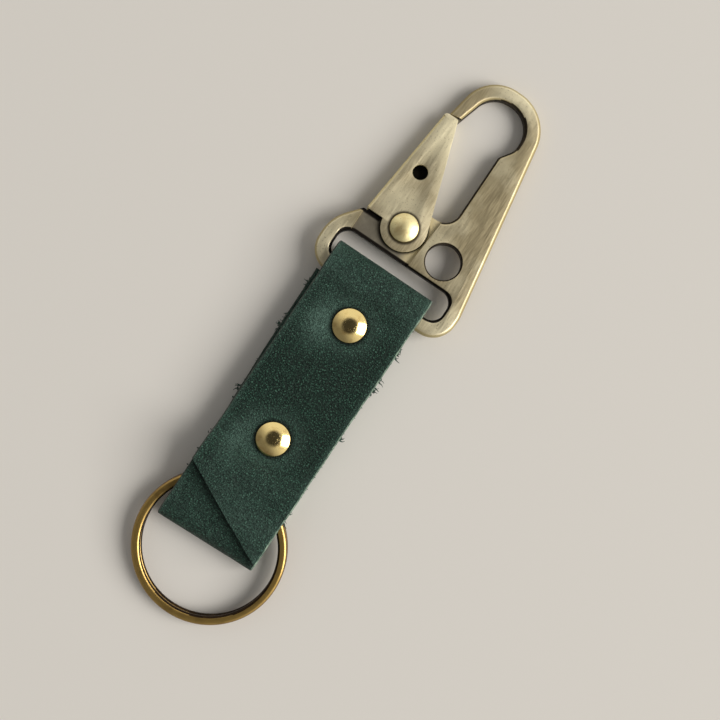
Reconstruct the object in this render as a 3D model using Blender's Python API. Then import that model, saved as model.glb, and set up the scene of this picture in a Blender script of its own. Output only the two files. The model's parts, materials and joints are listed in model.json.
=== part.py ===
"""Key fob: one strip of leather folded round a snap hook at one end and a split ring at the other.

The strap lies along Y with its face up (+Z), the hook at +Y and the ring at -Y.
The origin is on the strap's flat back face, midway between the two rivets.
The snap hook and its gate are modelled in the hook's own frame, whose origin is the middle of the
bar that the leather goes round, and an empty there carries them.
"""
import math

import bmesh
import bpy
import numpy as np
from mathutils import Matrix, Vector

# Leather strip
strap_width = 0.0250
strap_length = 0.0742
leather_thickness = 0.0016
layer_gap = 0.0003
hook_bend_radius = 0.0030
ring_bend_radius = 0.0030
front_end_left = 0.0155
front_end_right = 0.0022
inner_end_gap = 0.0007
inner_end_drift = 0.0010

# Double cap rivets
cap_radius = 0.0040
cap_dome_height = 0.0013
cap_rim_height = 0.0003
post_radius = 0.00125
socket_wall = 0.00035
socket_depth = 0.0028
socket_end_gap = 0.0003
socket_clearance = 0.00015
rivet_hole_clearance = 0.0003
cap_seat_gap = 0.0001
rivet_draw = 0.00005
cap_to_bend = 0.0011
hook_slope_run = 0.00325
ring_slope_run = 0.00445

# Snap hook, in its own frame: +Y from the bar to the round end
hook_reach = 0.0563
hook_thickness = 0.0033
hook_edge_radius = 0.0009
hook_sideways = 0.00115
bar_height = 0.0035
bar_end_radius = 0.0058
slot_side_room = 0.0024
slot_end_wall = 0.0034
slot_height = 0.0073
slot_corner_radius = 0.0030
slot_edge_radius = 0.0006
bar_clearance = 0.00095
bar_below_fold = 0.0041
round_hole_radius = 0.0041
round_hole_side_wall = 0.0018
round_hole_slot_wall = 0.00135
round_hole_edge = 0.0003
web_thickness = 0.0014
small_corner = 0.0003

# Gate lever, folded from sheet over the web
pivot_x = -0.0033
pivot_above_slot = 0.00685
web_above_pivot = 0.0057
nose_length = 0.0132
gate_base_radius = 0.00535
gate_tip_x = -0.0035
gate_tip_width = 0.0033
gate_tip_corner = 0.0010
gate_heel_reach = 0.00965
gate_heel_drop = 0.0008
gate_heel_corner = 0.0004
gate_sheet = 0.0010
gate_running_gap = 0.0002
gate_fold_radius = 0.0009
gate_hole_radius = 0.0018
gate_hole_x = -0.0040
gate_hole_y = 0.0125
gate_opening = math.radians(24)
tongue_overlap = 0.0025
tongue_inset = 0.0003
spine_end_gap = 0.0003
nose_gap = 0.0002
nose_set_in = 0.0004
stop_gap = 0.0001
stop_height = 0.0016
nose_pocket_span_share = 4
shoulder_gap = 0.0014
web_shoulder_gap = 0.0003
pocket_clearance = 0.00035
pocket_side_gap = 0.0002

# Pivot rivet of the gate
pivot_shank_radius = 0.0015
pivot_hole_clearance = 0.0002
pivot_head_radius = 0.0034
pivot_head_height = 0.0011
pivot_head_rim = 0.0003
pivot_tail_radius = 0.0026
pivot_tail_height = 0.0005
pivot_seat_gap = 0.0001

# Gate spring, a hairpin of round wire between the cheeks
spring_wire_radius = 0.00035
spring_bend_radius = 0.0011
spring_gap = 0.0003
spring_leg_drop = 0.0055

# Split ring of two coils
ring_room = 0.00315
ring_wire_width = 0.0021
ring_wire_height = 0.0015
ring_wire_corner = 0.0007
ring_coil_gap = 0.00045
ring_crank = math.radians(36)
ring_end_gap = math.radians(6)
ring_turned = math.radians(114)
ring_sideways = 0.0016
ring_clearance = 0.0003
ring_crest_run = 0.0013

# Shared values
table_gap = 0.0001
cut_overrun = 0.0030
merge_distance = 0.000001
rounding_room_share = 0.98
hook_droop = math.radians(2.6)
arc_step = math.radians(12)
section_step = math.radians(46)
round_sides = 32
dome_steps = 6
rim_segments = 3
ring_steps_per_turn = 60
sharp_angle = math.radians(40)

# Places that follow from the sizes
back_z = leather_thickness / 2
layer_pitch = leather_thickness + layer_gap
inner_z = back_z + layer_pitch
front_z = inner_z + layer_pitch
strap_top_z = front_z + leather_thickness / 2
cap_to_slope = cap_radius + cap_to_bend
ring_outer_radius = strap_width / 2 + ring_room + ring_wire_width
rivet_to_hook_fold = bar_below_fold + bar_height - bar_clearance + hook_slope_run + cap_to_slope
rivet_to_ring_fold = ring_outer_radius + ring_crest_run + ring_slope_run + cap_to_slope
rivet_spacing = strap_length - rivet_to_hook_fold - rivet_to_ring_fold
upper_rivet_y = rivet_spacing / 2
lower_rivet_y = -rivet_spacing / 2
hook_fold_y = upper_rivet_y + rivet_to_hook_fold
ring_fold_y = lower_rivet_y - rivet_to_ring_fold
table_z = -(cap_seat_gap + cap_rim_height + cap_dome_height)
bar_y = hook_fold_y - bar_below_fold - bar_height / 2
slot_length = strap_width + 2 * slot_side_room
hook_width = slot_length + 2 * slot_end_wall
slot_top = bar_height / 2 + slot_height
pivot_y = slot_top + pivot_above_slot
pivot = Vector((pivot_x, pivot_y))
web_top = pivot_y + web_above_pivot
gate_length = hook_reach - nose_length - pivot_y
gate_edge_lean = math.atan2(gate_length, gate_tip_x) - math.acos(
    gate_base_radius / math.hypot(gate_length, gate_tip_x)
)
gate_half = web_thickness / 2 + gate_running_gap + gate_sheet
pocket_left_x = pivot_x - gate_heel_reach - pocket_side_gap
round_hole_x = (
    pivot_x + gate_base_radius + pocket_clearance + round_hole_side_wall + round_hole_radius
)
round_hole_y = slot_top + round_hole_slot_wall + round_hole_radius

# Outline of the hook's plate: across as a share of its width, along as a share of its reach,
# and the corner's radius as a share of its width
right_side_shares = ((0.508, 0.103, 0.22), (0.277, 1.0, 0.275), (-0.190, 1.0, 0.245))
eye_shares = (
    (-0.096, 0.938, 0.165),
    (0.209, 0.938, 0.170),
    (0.210, 0.792, 0.095),
    (0.148, 0.734, 0.055),
)
eye_low_shares = (0.149, 0.104)
left_lobe_share = (-0.503, 0.158, 0.27)


def clear_scene():
    """Take away whatever the file holds."""
    for item in list(bpy.data.objects):
        bpy.data.objects.remove(item, do_unlink=True)


def finish(name, colour, roughness, metallic):
    """A plain Principled material."""
    material = bpy.data.materials.new(name)
    material.use_nodes = True
    shader = material.node_tree.nodes["Principled BSDF"]
    shader.inputs["Base Color"].default_value = (*colour, 1)
    shader.inputs["Roughness"].default_value = roughness
    shader.inputs["Metallic"].default_value = metallic
    return material


def rounded(corners, closed=True, step_angle=arc_step):
    """Points of an outline whose corners (x, y, radius) are rounded, as far as the sides have room.

    Each comes with the sides that the edge after it belongs to: a side has the number of the corner
    that it starts from, and an edge of a rounding belongs to the sides before and after it.
    """
    points = []
    count = len(corners)
    places = [Vector((x, y)) for x, y, _ in corners]
    tangents = []
    for index, (_, _, radius) in enumerate(corners):
        sharp = radius == 0 or (not closed and index in (0, count - 1))
        before = places[index - 1] - places[index]
        after = places[(index + 1) % count] - places[index]
        tangents.append(0 if sharp else radius / math.tan(before.angle(after) / 2))
    for index, here in enumerate(places):
        if tangents[index] == 0:
            points.append((here, {index}))
            continue
        before = places[index - 1] - here
        after = places[(index + 1) % count] - here
        opening = before.angle(after)
        turn = math.pi - opening
        room = min(
            1,
            rounding_room_share * before.length / (tangents[index] + tangents[index - 1]),
            rounding_room_share * after.length / (tangents[index] + tangents[(index + 1) % count]),
        )
        tangent = tangents[index] * room
        radius = tangent * math.tan(opening / 2)
        before.normalize()
        after.normalize()
        centre = here + (before + after).normalized() * (radius / math.sin(opening / 2))
        start = here + before * tangent - centre
        way = -math.copysign(turn, before.cross(after))
        steps = max(1, math.ceil(turn / step_angle))
        for step in range(steps + 1):
            around = Matrix.Rotation(way * step / steps, 2) @ start
            sides = {index} if step == steps else {(index - 1) % count, index}
            points.append((centre + around, sides))
    return points


def shifted(corners, distance):
    """The corners of an open path moved to its left by a distance, with radii to suit."""
    moved = []
    for index, (x, y, radius) in enumerate(corners):
        here = Vector((x, y))
        sides = []
        if index > 0:
            sides.append((here - Vector(corners[index - 1][:2])).normalized())
        if index < len(corners) - 1:
            sides.append((Vector(corners[index + 1][:2]) - here).normalized())
        left = [Vector((-side.y, side.x)) for side in sides]
        mitre = (left[0] + left[-1]).normalized()
        place = here + mitre * (distance / mitre.dot(left[0]))
        bend = sides[0].cross(sides[-1])
        change = -math.copysign(distance, bend) if abs(bend) > 0 else 0
        moved.append((place.x, place.y, radius + change if radius > 0 else 0))
    return moved


def arc(centre, radius, start, end):
    """Points along an arc, its two ends among them."""
    steps = max(1, math.ceil(abs(end - start) / arc_step))
    angles = [start + (end - start) * step / steps for step in range(steps + 1)]
    return [centre + Vector((math.cos(a), math.sin(a))) * radius for a in angles]


def add_object(name, bm, material=None, parent=None):
    """Make an object of a bmesh and, unless it is a cutter, give it its material."""
    bmesh.ops.recalc_face_normals(bm, faces=bm.faces)
    mesh = bpy.data.meshes.new(name)
    bm.to_mesh(mesh)
    bm.free()
    item = bpy.data.objects.new(name, mesh)
    bpy.context.scene.collection.objects.link(item)
    if parent is not None:
        item.parent = parent
    if material is None:
        item.hide_render = True
        item.display_type = "WIRE"
        return item
    mesh.materials.append(material)
    mesh.shade_smooth()
    mesh.set_sharp_from_angle(angle=sharp_angle)
    return item


def slab(outline, low, high, edge=0, square_sides=frozenset()):
    """A plate of an outline between two heights, with the rims of its sides rounded."""
    bm = bmesh.new()
    lower = [bm.verts.new((point.x, point.y, low)) for point, _ in outline]
    face = bm.faces.new(lower)
    grown = bmesh.ops.extrude_face_region(bm, geom=[face])
    upper_verts = [item for item in grown["geom"] if isinstance(item, bmesh.types.BMVert)]
    bmesh.ops.translate(bm, verts=upper_verts, vec=(0, 0, high - low))
    above = {}
    for vert in lower:
        for link in vert.link_edges:
            other = link.other_vert(vert)
            if other in upper_verts:
                above[vert] = other
    if edge > 0:
        rims = []
        for index, (_, sides) in enumerate(outline):
            if sides & square_sides:
                continue
            first = lower[index]
            second = lower[(index + 1) % len(lower)]
            rims.append(bm.edges.get((first, second)))
            rims.append(bm.edges.get((above[first], above[second])))
        bmesh.ops.bevel(
            bm, geom=rims, offset=edge, offset_type="OFFSET", affect="EDGES",
            segments=rim_segments, profile=0.5, clamp_overlap=False, material=-1,
        )
    return bm


def turned(profile, sides=round_sides):
    """A solid of revolution about Z from a profile of (radius, height) that starts and ends at the axis."""
    bm = bmesh.new()
    verts = [bm.verts.new((radius, 0, height)) for radius, height in profile]
    edges = [bm.edges.new(pair) for pair in zip(verts, verts[1:])]
    bmesh.ops.spin(
        bm, geom=verts + edges, cent=(0, 0, 0), axis=(0, 0, 1), angle=2 * math.pi,
        steps=sides, use_merge=True,
    )
    bmesh.ops.remove_doubles(bm, verts=bm.verts, dist=merge_distance)
    return bm


def dome(radius, height, base):
    """Profile of a domed head from the axis out to its rim, above a base height."""
    ball = (radius * radius + height * height) / (2 * height)
    spread = math.asin(radius / ball)
    rise = [spread * step / dome_steps for step in range(dome_steps + 1)]
    return [(ball * math.sin(a), base + height - ball * (1 - math.cos(a))) for a in rise]


def join(target, other, operation):
    """Add to or cut from an object with another one that stays hidden."""
    modifier = target.modifiers.new(other.name, "BOOLEAN")
    modifier.operation = operation
    modifier.solver = "EXACT"
    modifier.object = other


def cylinder(name, place, radius, low, high, parent=None):
    """A round cutter along Z."""
    profile = [(0, low), (radius, low), (radius, high), (0, high)]
    bm = turned(profile)
    bmesh.ops.translate(bm, verts=bm.verts, vec=(place[0], place[1], 0))
    return add_object(name, bm, parent=parent)


def ring_pose():
    """Tilt of the split ring, height of its middle and height at which its upper face runs on."""
    height = 2 * ring_wire_height + ring_coil_gap
    inner_radius = ring_outer_radius - ring_wire_width
    edge_x = strap_width / 2 + ring_sideways
    edge_y = math.sqrt(inner_radius**2 - edge_x**2)
    low = table_z + table_gap
    leather_top = table_z + table_gap + leather_thickness
    rise = leather_top + ring_clearance - low
    tilt = math.atan2(rise, ring_outer_radius + edge_y)
    middle = low + ring_outer_radius * math.sin(tilt) + height / 2 * math.cos(tilt)
    return tilt, middle, height


def strap_path():
    """Corners of the strip's middle line in Y and Z, from its slanted front end to its inner end.

    The rivets draw the back layer in a little, and it lies flat between them.
    """
    tilt, middle, height = ring_pose()
    over_ring = middle + (height / 2 + ring_clearance + leather_thickness / 2) / math.cos(tilt)
    fold_y = ring_fold_y + leather_thickness / 2
    crest_y = ring_fold_y + ring_outer_radius + ring_crest_run
    foot_y = lower_rivet_y - cap_to_slope
    under_ring = table_z + table_gap + leather_thickness / 2
    slope = math.tan(tilt)
    inner = [
        (fold_y, over_ring + (fold_y - ring_fold_y) * slope, 0),
        (crest_y, over_ring + (crest_y - ring_fold_y) * slope, ring_bend_radius),
        (foot_y, inner_z, ring_bend_radius),
        (bar_y - bar_height / 2 - inner_end_gap, inner_z, 0),
    ]
    top_y = hook_fold_y - leather_thickness / 2
    spread = hook_thickness / 2 + bar_clearance + leather_thickness / 2
    leave_y = upper_rivet_y + cap_to_slope
    reach_y = bar_y - bar_height / 2 + bar_clearance
    front = shifted(inner, layer_pitch)[:3]
    front_y = ring_fold_y + front_end_right
    front[0] = (front_y, front[0][1] + (front_y - front[0][0]) * slope, 0)
    ring_fold_radius = (inner[0][1] - under_ring) / 2
    return (
        front
        + [
            (leave_y, front_z, hook_bend_radius),
            (reach_y, inner_z + spread, hook_bend_radius),
            (top_y, inner_z + spread, spread),
            (top_y, inner_z - spread, spread),
            (reach_y, inner_z - spread, hook_bend_radius),
            (leave_y, back_z + rivet_draw, hook_bend_radius),
            (upper_rivet_y - cap_to_slope, back_z, 0),
            (lower_rivet_y + cap_to_slope + cap_to_bend, back_z, 0),
            (foot_y, back_z + rivet_draw, ring_bend_radius),
            (crest_y, under_ring, ring_bend_radius),
            (fold_y, under_ring, ring_fold_radius),
            (fold_y, inner[0][1], ring_fold_radius),
        ]
        + inner[1:]
    )


def build_strap(material):
    """The leather strip, as a sheet along its path that is given its thickness and punched."""
    path = [point for point, _ in rounded(strap_path(), closed=False)]
    half = strap_width / 2
    left = [Vector((-half, point.x, point.y)) for point in path]
    right = [Vector((half, point.x, point.y)) for point in path]
    slant = (front_end_left - front_end_right) / (path[1].x - path[0].x)
    left[0] = left[0].lerp(left[1], slant)
    start_y = lower_rivet_y
    end_y = path[-1].x
    fold_index = max(i for i, point in enumerate(path) if point.x < ring_fold_y + leather_thickness)
    for index in range(fold_index, len(path)):
        drift = inner_end_drift * max(0, (path[index].x - start_y) / (end_y - start_y))
        left[index].x -= drift
        right[index].x -= drift
    bm = bmesh.new()
    rows = [(bm.verts.new(a), bm.verts.new(b)) for a, b in zip(left, right)]
    for (a, b), (c, d) in zip(rows, rows[1:]):
        bm.faces.new((a, b, d, c))
    strap = add_object("leather_strap", bm, material)
    thick = strap.modifiers.new("thickness", "SOLIDIFY")
    thick.thickness = leather_thickness
    thick.offset = 0
    thick.use_even_offset = True
    for label, y in (("upper_hole", upper_rivet_y), ("lower_hole", lower_rivet_y)):
        radius = post_radius + socket_clearance + socket_wall + rivet_hole_clearance
        punch = cylinder(label, (0, y), radius, back_z - cut_overrun, front_z + cut_overrun)
        join(strap, punch, "DIFFERENCE")
    return strap


def build_strap_rivet(label, y, material):
    """One double cap rivet: a cap with a socket in front, and a cap with the post behind."""
    socket_radius = post_radius + socket_clearance
    outer_radius = socket_radius + socket_wall
    seat = strap_top_z + cap_seat_gap
    rim = seat + cap_rim_height
    bore_end = rim + cap_dome_height / 2
    cap_profile = dome(cap_radius, cap_dome_height, rim) + [
        (cap_radius, seat),
        (outer_radius, seat),
        (outer_radius, seat - socket_depth),
        (socket_radius, seat - socket_depth),
        (socket_radius, bore_end - socket_end_gap),
        (0, bore_end - socket_end_gap),
    ]
    post_end = bore_end - 2 * socket_end_gap
    base = -cap_seat_gap
    back = [(radius, -height) for radius, height in dome(cap_radius, cap_dome_height, cap_rim_height - base)]
    post_profile = back + [
        (cap_radius, base),
        (post_radius, base),
        (post_radius, post_end),
        (0, post_end),
    ]
    for piece, profile in (("cap", cap_profile), ("post", post_profile)):
        bm = turned(profile)
        item = add_object(f"{label}_rivet_{piece}", bm, material)
        item.location = (0, y, 0)


def ring_section(bm, middle_radius, low):
    """The rounded section of the ring's wire, as a face across its path."""
    half_w = ring_wire_width / 2
    half_h = ring_wire_height / 2
    corners = [
        (-half_w, -half_h, ring_wire_corner),
        (half_w, -half_h, ring_wire_corner),
        (half_w, half_h, ring_wire_corner),
        (-half_w, half_h, ring_wire_corner),
    ]
    points = [point for point, _ in rounded(corners, step_angle=section_step)]
    verts = [bm.verts.new((middle_radius + p.x, 0, low + half_h + p.y)) for p in points]
    return bm.faces.new(verts)


def build_key_ring(material):
    """The split ring: a flat coil, a crank up to the next level, and a second flat coil."""
    tilt, middle, height = ring_pose()
    middle_radius = ring_outer_radius - ring_wire_width / 2
    pitch = ring_wire_height + ring_coil_gap
    bm = bmesh.new()
    face = ring_section(bm, middle_radius, -height / 2)
    coil_angle = 2 * math.pi - ring_crank - ring_end_gap
    tail = [face] + list(face.edges) + list(face.verts)
    travelled = 0
    known = set(bm.verts)
    measured = [(vert.co.copy(), 0) for vert in bm.verts]
    for angle, climb in ((coil_angle, 0), (ring_crank, pitch), (coil_angle, 0)):
        steps = math.ceil(angle / (2 * math.pi) * ring_steps_per_turn)
        swept = bmesh.ops.spin(
            bm, geom=tail, cent=(0, 0, 0), axis=(0, 0, 1), dvec=(0, 0, climb / steps), angle=angle,
            steps=steps, use_merge=False,
        )
        tail = swept["geom_last"]
        for vert in set(bm.verts) - known:
            around = (math.atan2(vert.co.y, vert.co.x) - travelled) % (2 * math.pi)
            measured.append((vert.co.copy(), travelled + around))
        known = set(bm.verts)
        travelled += angle
    print_least_gap("key_ring", measured)
    bmesh.ops.rotate(bm, verts=bm.verts, cent=(0, 0, 0), matrix=Matrix.Rotation(ring_turned, 3, "Z"))
    ring = add_object("key_ring", bm, material)
    ring.location = (ring_sideways, ring_fold_y, middle)
    ring.rotation_euler = (tilt, 0, 0)
    return ring


def print_least_gap(name, measured):
    """Print the least distance between points of a coil that lie a quarter turn or more apart on it."""
    places = np.array([place[:] for place, _ in measured])
    travels = np.array([travel for _, travel in measured])
    least = min(
        float(np.linalg.norm(places[far] - place, axis=1).min())
        for place, travel in zip(places, travels)
        if (far := np.abs(travels - travel) > math.pi / 2).any()
    )
    print(f"{name}: least gap to itself {least * 1000:.3f} mm")


def spine_line():
    """A point on the gate's outer edge at its heel and the direction of that edge to the tip."""
    heel = Vector((-gate_heel_reach, -gate_heel_drop))
    tip = Vector((gate_tip_x - gate_tip_width, gate_length))
    return heel, (tip - heel).normalized()


def spine_inside(height):
    """How far across the spine's inner face lies at a height above the pivot."""
    heel, along = spine_line()
    across = heel.x + (height - heel.y) * along.x / along.y
    return across + gate_sheet / along.y


def hook_corner(share):
    """A corner of the hook's outline from its shares."""
    across, along, radius = share
    return (across * hook_width, along * hook_reach, radius * hook_width)


def nose_ends():
    """How far across the nose's outer and inner sides end, beside the gate's tip."""
    right = pivot_x + gate_tip_x - tongue_inset
    left = pivot_x + gate_tip_x - gate_tip_width + nose_set_in
    return left, right


def plate_runs():
    """Corners of the hook's plate, once round from the bar's left end, the tongue and web included.

    They come in runs, each with whether the rims of the sides that start from its corners are left
    square: the tongue's end and the web's edges, which the gate covers.
    """
    low = -bar_height / 2
    half = hook_width / 2
    tongue_low = pivot_y + gate_length - tongue_overlap
    tongue_left, tongue_right = nose_ends()
    tongue_radius = (tongue_right - tongue_left) / 2
    web_shoulder_y = pivot_y - gate_heel_drop - web_shoulder_gap
    stop_low = pivot_y - gate_heel_drop + gate_running_gap
    stop_high = stop_low + stop_height
    heel_x = pivot_x - gate_base_radius
    outside = [(-half, low, bar_end_radius), (half, low, bar_end_radius)]
    outside += [hook_corner(share) for share in right_side_shares]
    tongue = (tongue_left, tongue_low, tongue_radius)
    eye = [(tongue_right, tongue_low, tongue_radius)]
    eye += [hook_corner(share) for share in eye_shares]
    eye.append((eye_low_shares[0] * hook_width, web_top, eye_low_shares[1] * hook_width))
    covered = [
        (pivot_x - gate_sheet, web_top, gate_sheet),
        (pivot_x + spine_inside(stop_high - pivot_y) + stop_gap, stop_high, small_corner),
        (pivot_x + spine_inside(stop_low - pivot_y) + stop_gap, stop_low, small_corner),
        (heel_x, stop_low, small_corner),
        (heel_x, web_shoulder_y, small_corner),
    ]
    lobe = [(pocket_left_x - small_corner, web_shoulder_y, small_corner), hook_corner(left_lobe_share)]
    return (outside, False), ([tongue], True), (eye, False), (covered, True), (lobe, False)


def gate_pocket():
    """Corners of the pocket that the gate's cheek turns in, open to the slot, the eye and the outside."""
    lean = gate_opening - gate_edge_lean
    wall = gate_base_radius + pocket_clearance
    over = web_top + cut_overrun
    side = pivot_x + wall / math.cos(lean)
    low = pivot_x + wall * math.cos(gate_edge_lean)
    mid_slot = bar_height / 2 + slot_height / 2
    shoulder_y = pivot_y - gate_heel_drop - shoulder_gap
    return [
        (pocket_left_x, mid_slot, 0),
        (low, mid_slot, 0),
        (low, slot_top, 0),
        (side, pivot_y - gate_base_radius / 2, gate_base_radius / 2),
        (side + (over - pivot_y) * math.tan(lean), over, 0),
        (-hook_width, over, 0),
        (-hook_width, shoulder_y + small_corner, 0),
        (pocket_left_x, shoulder_y + small_corner, 0),
    ]


def nose_pocket():
    """The pocket in the nose that the gate's tip closes into, its end an arc about the pivot."""
    corner = Vector((gate_tip_x - gate_tip_width + gate_tip_corner, gate_length - gate_tip_corner))
    reach = corner.length + gate_tip_corner + nose_gap
    upright = math.pi / 2
    side = upright + nose_pocket_span_share * math.asin(gate_tip_width / gate_length)
    outer = arc(pivot, reach, upright, side)
    inner = arc(pivot, gate_length - tongue_overlap * 2, side, upright)
    return [(point, {0}) for point in outer + inner]


def build_hook_body(material, frame):
    """The hook: a plate with rounded rims, thinned to a web and a tongue for the gate, and its holes."""
    half = hook_thickness / 2
    cut = half + cut_overrun
    web = web_thickness / 2
    corners = []
    square = set()
    for run, is_square in plate_runs():
        if is_square:
            square.update(range(len(corners), len(corners) + len(run)))
        corners += run
    plate = slab(rounded(corners), -half, half, hook_edge_radius, square)
    hook = add_object("hook_body", plate, material, frame)
    slot_half = slot_length / 2
    slot = [
        (-slot_half, bar_height / 2, slot_corner_radius),
        (slot_half, bar_height / 2, slot_corner_radius),
        (slot_half, slot_top, slot_corner_radius),
        (-slot_half, slot_top, slot_corner_radius),
    ]
    place = (round_hole_x, round_hole_y)
    pockets = (("gate_pocket", rounded(gate_pocket())), ("nose_pocket", nose_pocket()))
    for label, outline in pockets:
        for face, low, high in (("front", web, cut), ("back", -cut, -web)):
            cutter = add_object(f"{label}_{face}", slab(outline, low, high), parent=frame)
            join(hook, cutter, "DIFFERENCE")
    join(hook, add_object("slot_cut", slab(rounded(slot), -cut, cut), parent=frame), "DIFFERENCE")
    join(hook, cylinder("round_hole", place, round_hole_radius, -cut, cut, frame), "DIFFERENCE")
    for face, side in (("front", 1), ("back", -1)):
        slot_rim = flared(slot, side * half, side * cut, slot_edge_radius)
        hole_rim = flared_hole(place, round_hole_radius, side * half, side * cut, round_hole_edge)
        join(hook, add_object(f"slot_rim_{face}", slot_rim, parent=frame), "DIFFERENCE")
        join(hook, add_object(f"round_hole_rim_{face}", hole_rim, parent=frame), "DIFFERENCE")
    pin_hole = pivot_shank_radius + pivot_hole_clearance
    join(hook, cylinder("pivot_hole", pivot, pin_hole, -cut, cut, frame), "DIFFERENCE")
    return hook


def flared(corners, face, end, edge):
    """A cutter that chamfers the rim of an opening: it widens from inside a face out past it."""
    depth = math.copysign(edge, face)
    bm = bmesh.new()
    loops = []
    for height, grow in ((face - depth, 0), (face, edge), (end, edge)):
        grown = shifted_closed(corners, grow)
        loops.append([bm.verts.new((p.x, p.y, height)) for p, _ in rounded(grown)])
    stack(bm, loops)
    return bm


def flared_hole(place, radius, face, end, edge):
    """The same cutter for a round hole."""
    depth = math.copysign(edge, face)
    bm = turned([(0, face - depth), (radius, face - depth), (radius + edge, face), (radius + edge, end), (0, end)])
    bmesh.ops.translate(bm, verts=bm.verts, vec=(place[0], place[1], 0))
    return bm


def shifted_closed(corners, grow):
    """Corners of a closed outline that runs counterclockwise, pushed outwards."""
    count = len(corners)
    moved = []
    for index, (x, y, radius) in enumerate(corners):
        here = Vector((x, y))
        into = (here - Vector(corners[index - 1][:2])).normalized()
        out = (Vector(corners[(index + 1) % count][:2]) - here).normalized()
        normals = [Vector((side.y, -side.x)) for side in (into, out)]
        mitre = (normals[0] + normals[1]).normalized()
        place = here + mitre * (grow / mitre.dot(normals[0]))
        moved.append((place.x, place.y, radius + grow))
    return moved


def stack(bm, loops):
    """Close a stack of loops of equal count into a solid."""
    bm.faces.new(loops[0])
    bm.faces.new(loops[-1])
    count = len(loops[0])
    for lower, upper in zip(loops, loops[1:]):
        for index in range(count):
            after = (index + 1) % count
            bm.faces.new((lower[index], lower[after], upper[after], upper[index]))


def gate_outline():
    """Outline of the gate: the round base, the straight edges and the tip, and its sides but the spine."""
    heel_angle = -math.pi + math.asin(gate_heel_drop / gate_base_radius)
    base = arc(Vector((0, 0)), gate_base_radius, heel_angle, gate_edge_lean)
    corners = [
        (base[-1].x, base[-1].y, 0),
        (gate_tip_x, gate_length, gate_tip_corner / 2),
        (gate_tip_x - gate_tip_width, gate_length, gate_tip_corner),
        (-gate_heel_reach, -gate_heel_drop, gate_heel_corner),
        (base[0].x, base[0].y, 0),
    ]
    sides = rounded(corners, closed=False)
    outline = [(point, {len(corners)}) for point in base[:-1]] + sides[:-1]
    square = set(range(len(corners) + 1)) - {2}
    return [(point + pivot, side) for point, side in outline], square


def build_gate(material, frame):
    """The gate: sheet folded into a channel, open towards the hook, with a hole in its front cheek."""
    outline, square = gate_outline()
    body = slab(outline, -gate_half, gate_half, gate_fold_radius, square)
    bmesh.ops.translate(body, verts=body.verts, vec=(-pivot_x, -pivot_y, 0))
    gate = add_object("gate_lever", body, material, frame)
    gate.location = (pivot_x, pivot_y, 0)
    inside = web_thickness / 2 + gate_running_gap
    low = -gate_base_radius - cut_overrun
    high = gate_length + cut_overrun
    wide = gate_base_radius + cut_overrun
    channel = [
        (spine_inside(low), low, 0),
        (wide, low, 0),
        (wide, high, 0),
        (spine_inside(high), high, 0),
    ]
    spine_end = gate_length - tongue_overlap - gate_sheet - spine_end_gap
    tip_slot = [
        (-wide - cut_overrun, spine_end, 0),
        (wide, spine_end, 0),
        (wide, high, 0),
        (-wide - cut_overrun, high, 0),
    ]
    for label, corners in (("gate_channel", channel), ("gate_tip_slot", tip_slot)):
        points = [(point + pivot, sides) for point, sides in rounded(corners)]
        join(gate, add_object(label, slab(points, -inside, inside), parent=frame), "DIFFERENCE")
    cut = gate_half + cut_overrun
    pin_hole = pivot_shank_radius + pivot_hole_clearance
    join(gate, cylinder("gate_pivot_hole", pivot, pin_hole, -cut, cut, frame), "DIFFERENCE")
    place = pivot + Vector((gate_hole_x, gate_hole_y))
    join(gate, cylinder("gate_sight_hole", place, gate_hole_radius, 0, cut, frame), "DIFFERENCE")
    return gate


def build_pivot_rivet(material, frame):
    """The rivet that the gate turns on: a domed head in front and a flat peened tail behind."""
    top = gate_half + pivot_seat_gap
    head = dome(pivot_head_radius, pivot_head_height, top + pivot_head_rim)
    tail = dome(pivot_tail_radius, pivot_tail_height, top)
    profile = (
        head
        + [(pivot_head_radius, top), (pivot_shank_radius, top), (pivot_shank_radius, -top)]
        + [(radius, -height) for radius, height in reversed(tail)]
    )
    rivet = add_object("gate_pivot_rivet", turned(profile), material, frame)
    rivet.location = (pivot_x, pivot_y, 0)
    return rivet


def build_spring(material, frame):
    """The hairpin spring: one leg stands on the web, the other lies along the gate's spine."""
    foot = Vector((pivot_x, web_top + spring_gap + spring_wire_radius))
    bend_y = pivot_y + gate_hole_y - gate_hole_radius - spring_wire_radius - spring_gap
    off = spring_gap + spring_wire_radius
    top_x = pivot_x + spine_inside(bend_y - pivot_y) + off
    low_y = bend_y - spring_leg_drop
    low_x = pivot_x + spine_inside(low_y - pivot_y) + off
    corners = [
        (foot.x, foot.y, 0),
        (top_x + 2 * spring_bend_radius, bend_y, spring_bend_radius),
        (top_x, bend_y, spring_bend_radius),
        (low_x, low_y, 0),
    ]
    curve = bpy.data.curves.new("gate_spring", "CURVE")
    curve.dimensions = "3D"
    curve.bevel_depth = spring_wire_radius
    curve.bevel_resolution = 2
    curve.use_fill_caps = True
    points = [point for point, _ in rounded(corners, closed=False)]
    spline = curve.splines.new("POLY")
    spline.points.add(len(points) - 1)
    for target, point in zip(spline.points, points):
        target.co = (point.x, point.y, 0, 1)
    spring = bpy.data.objects.new("gate_spring", curve)
    bpy.context.scene.collection.objects.link(spring)
    curve.materials.append(material)
    spring.parent = frame
    return spring


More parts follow.
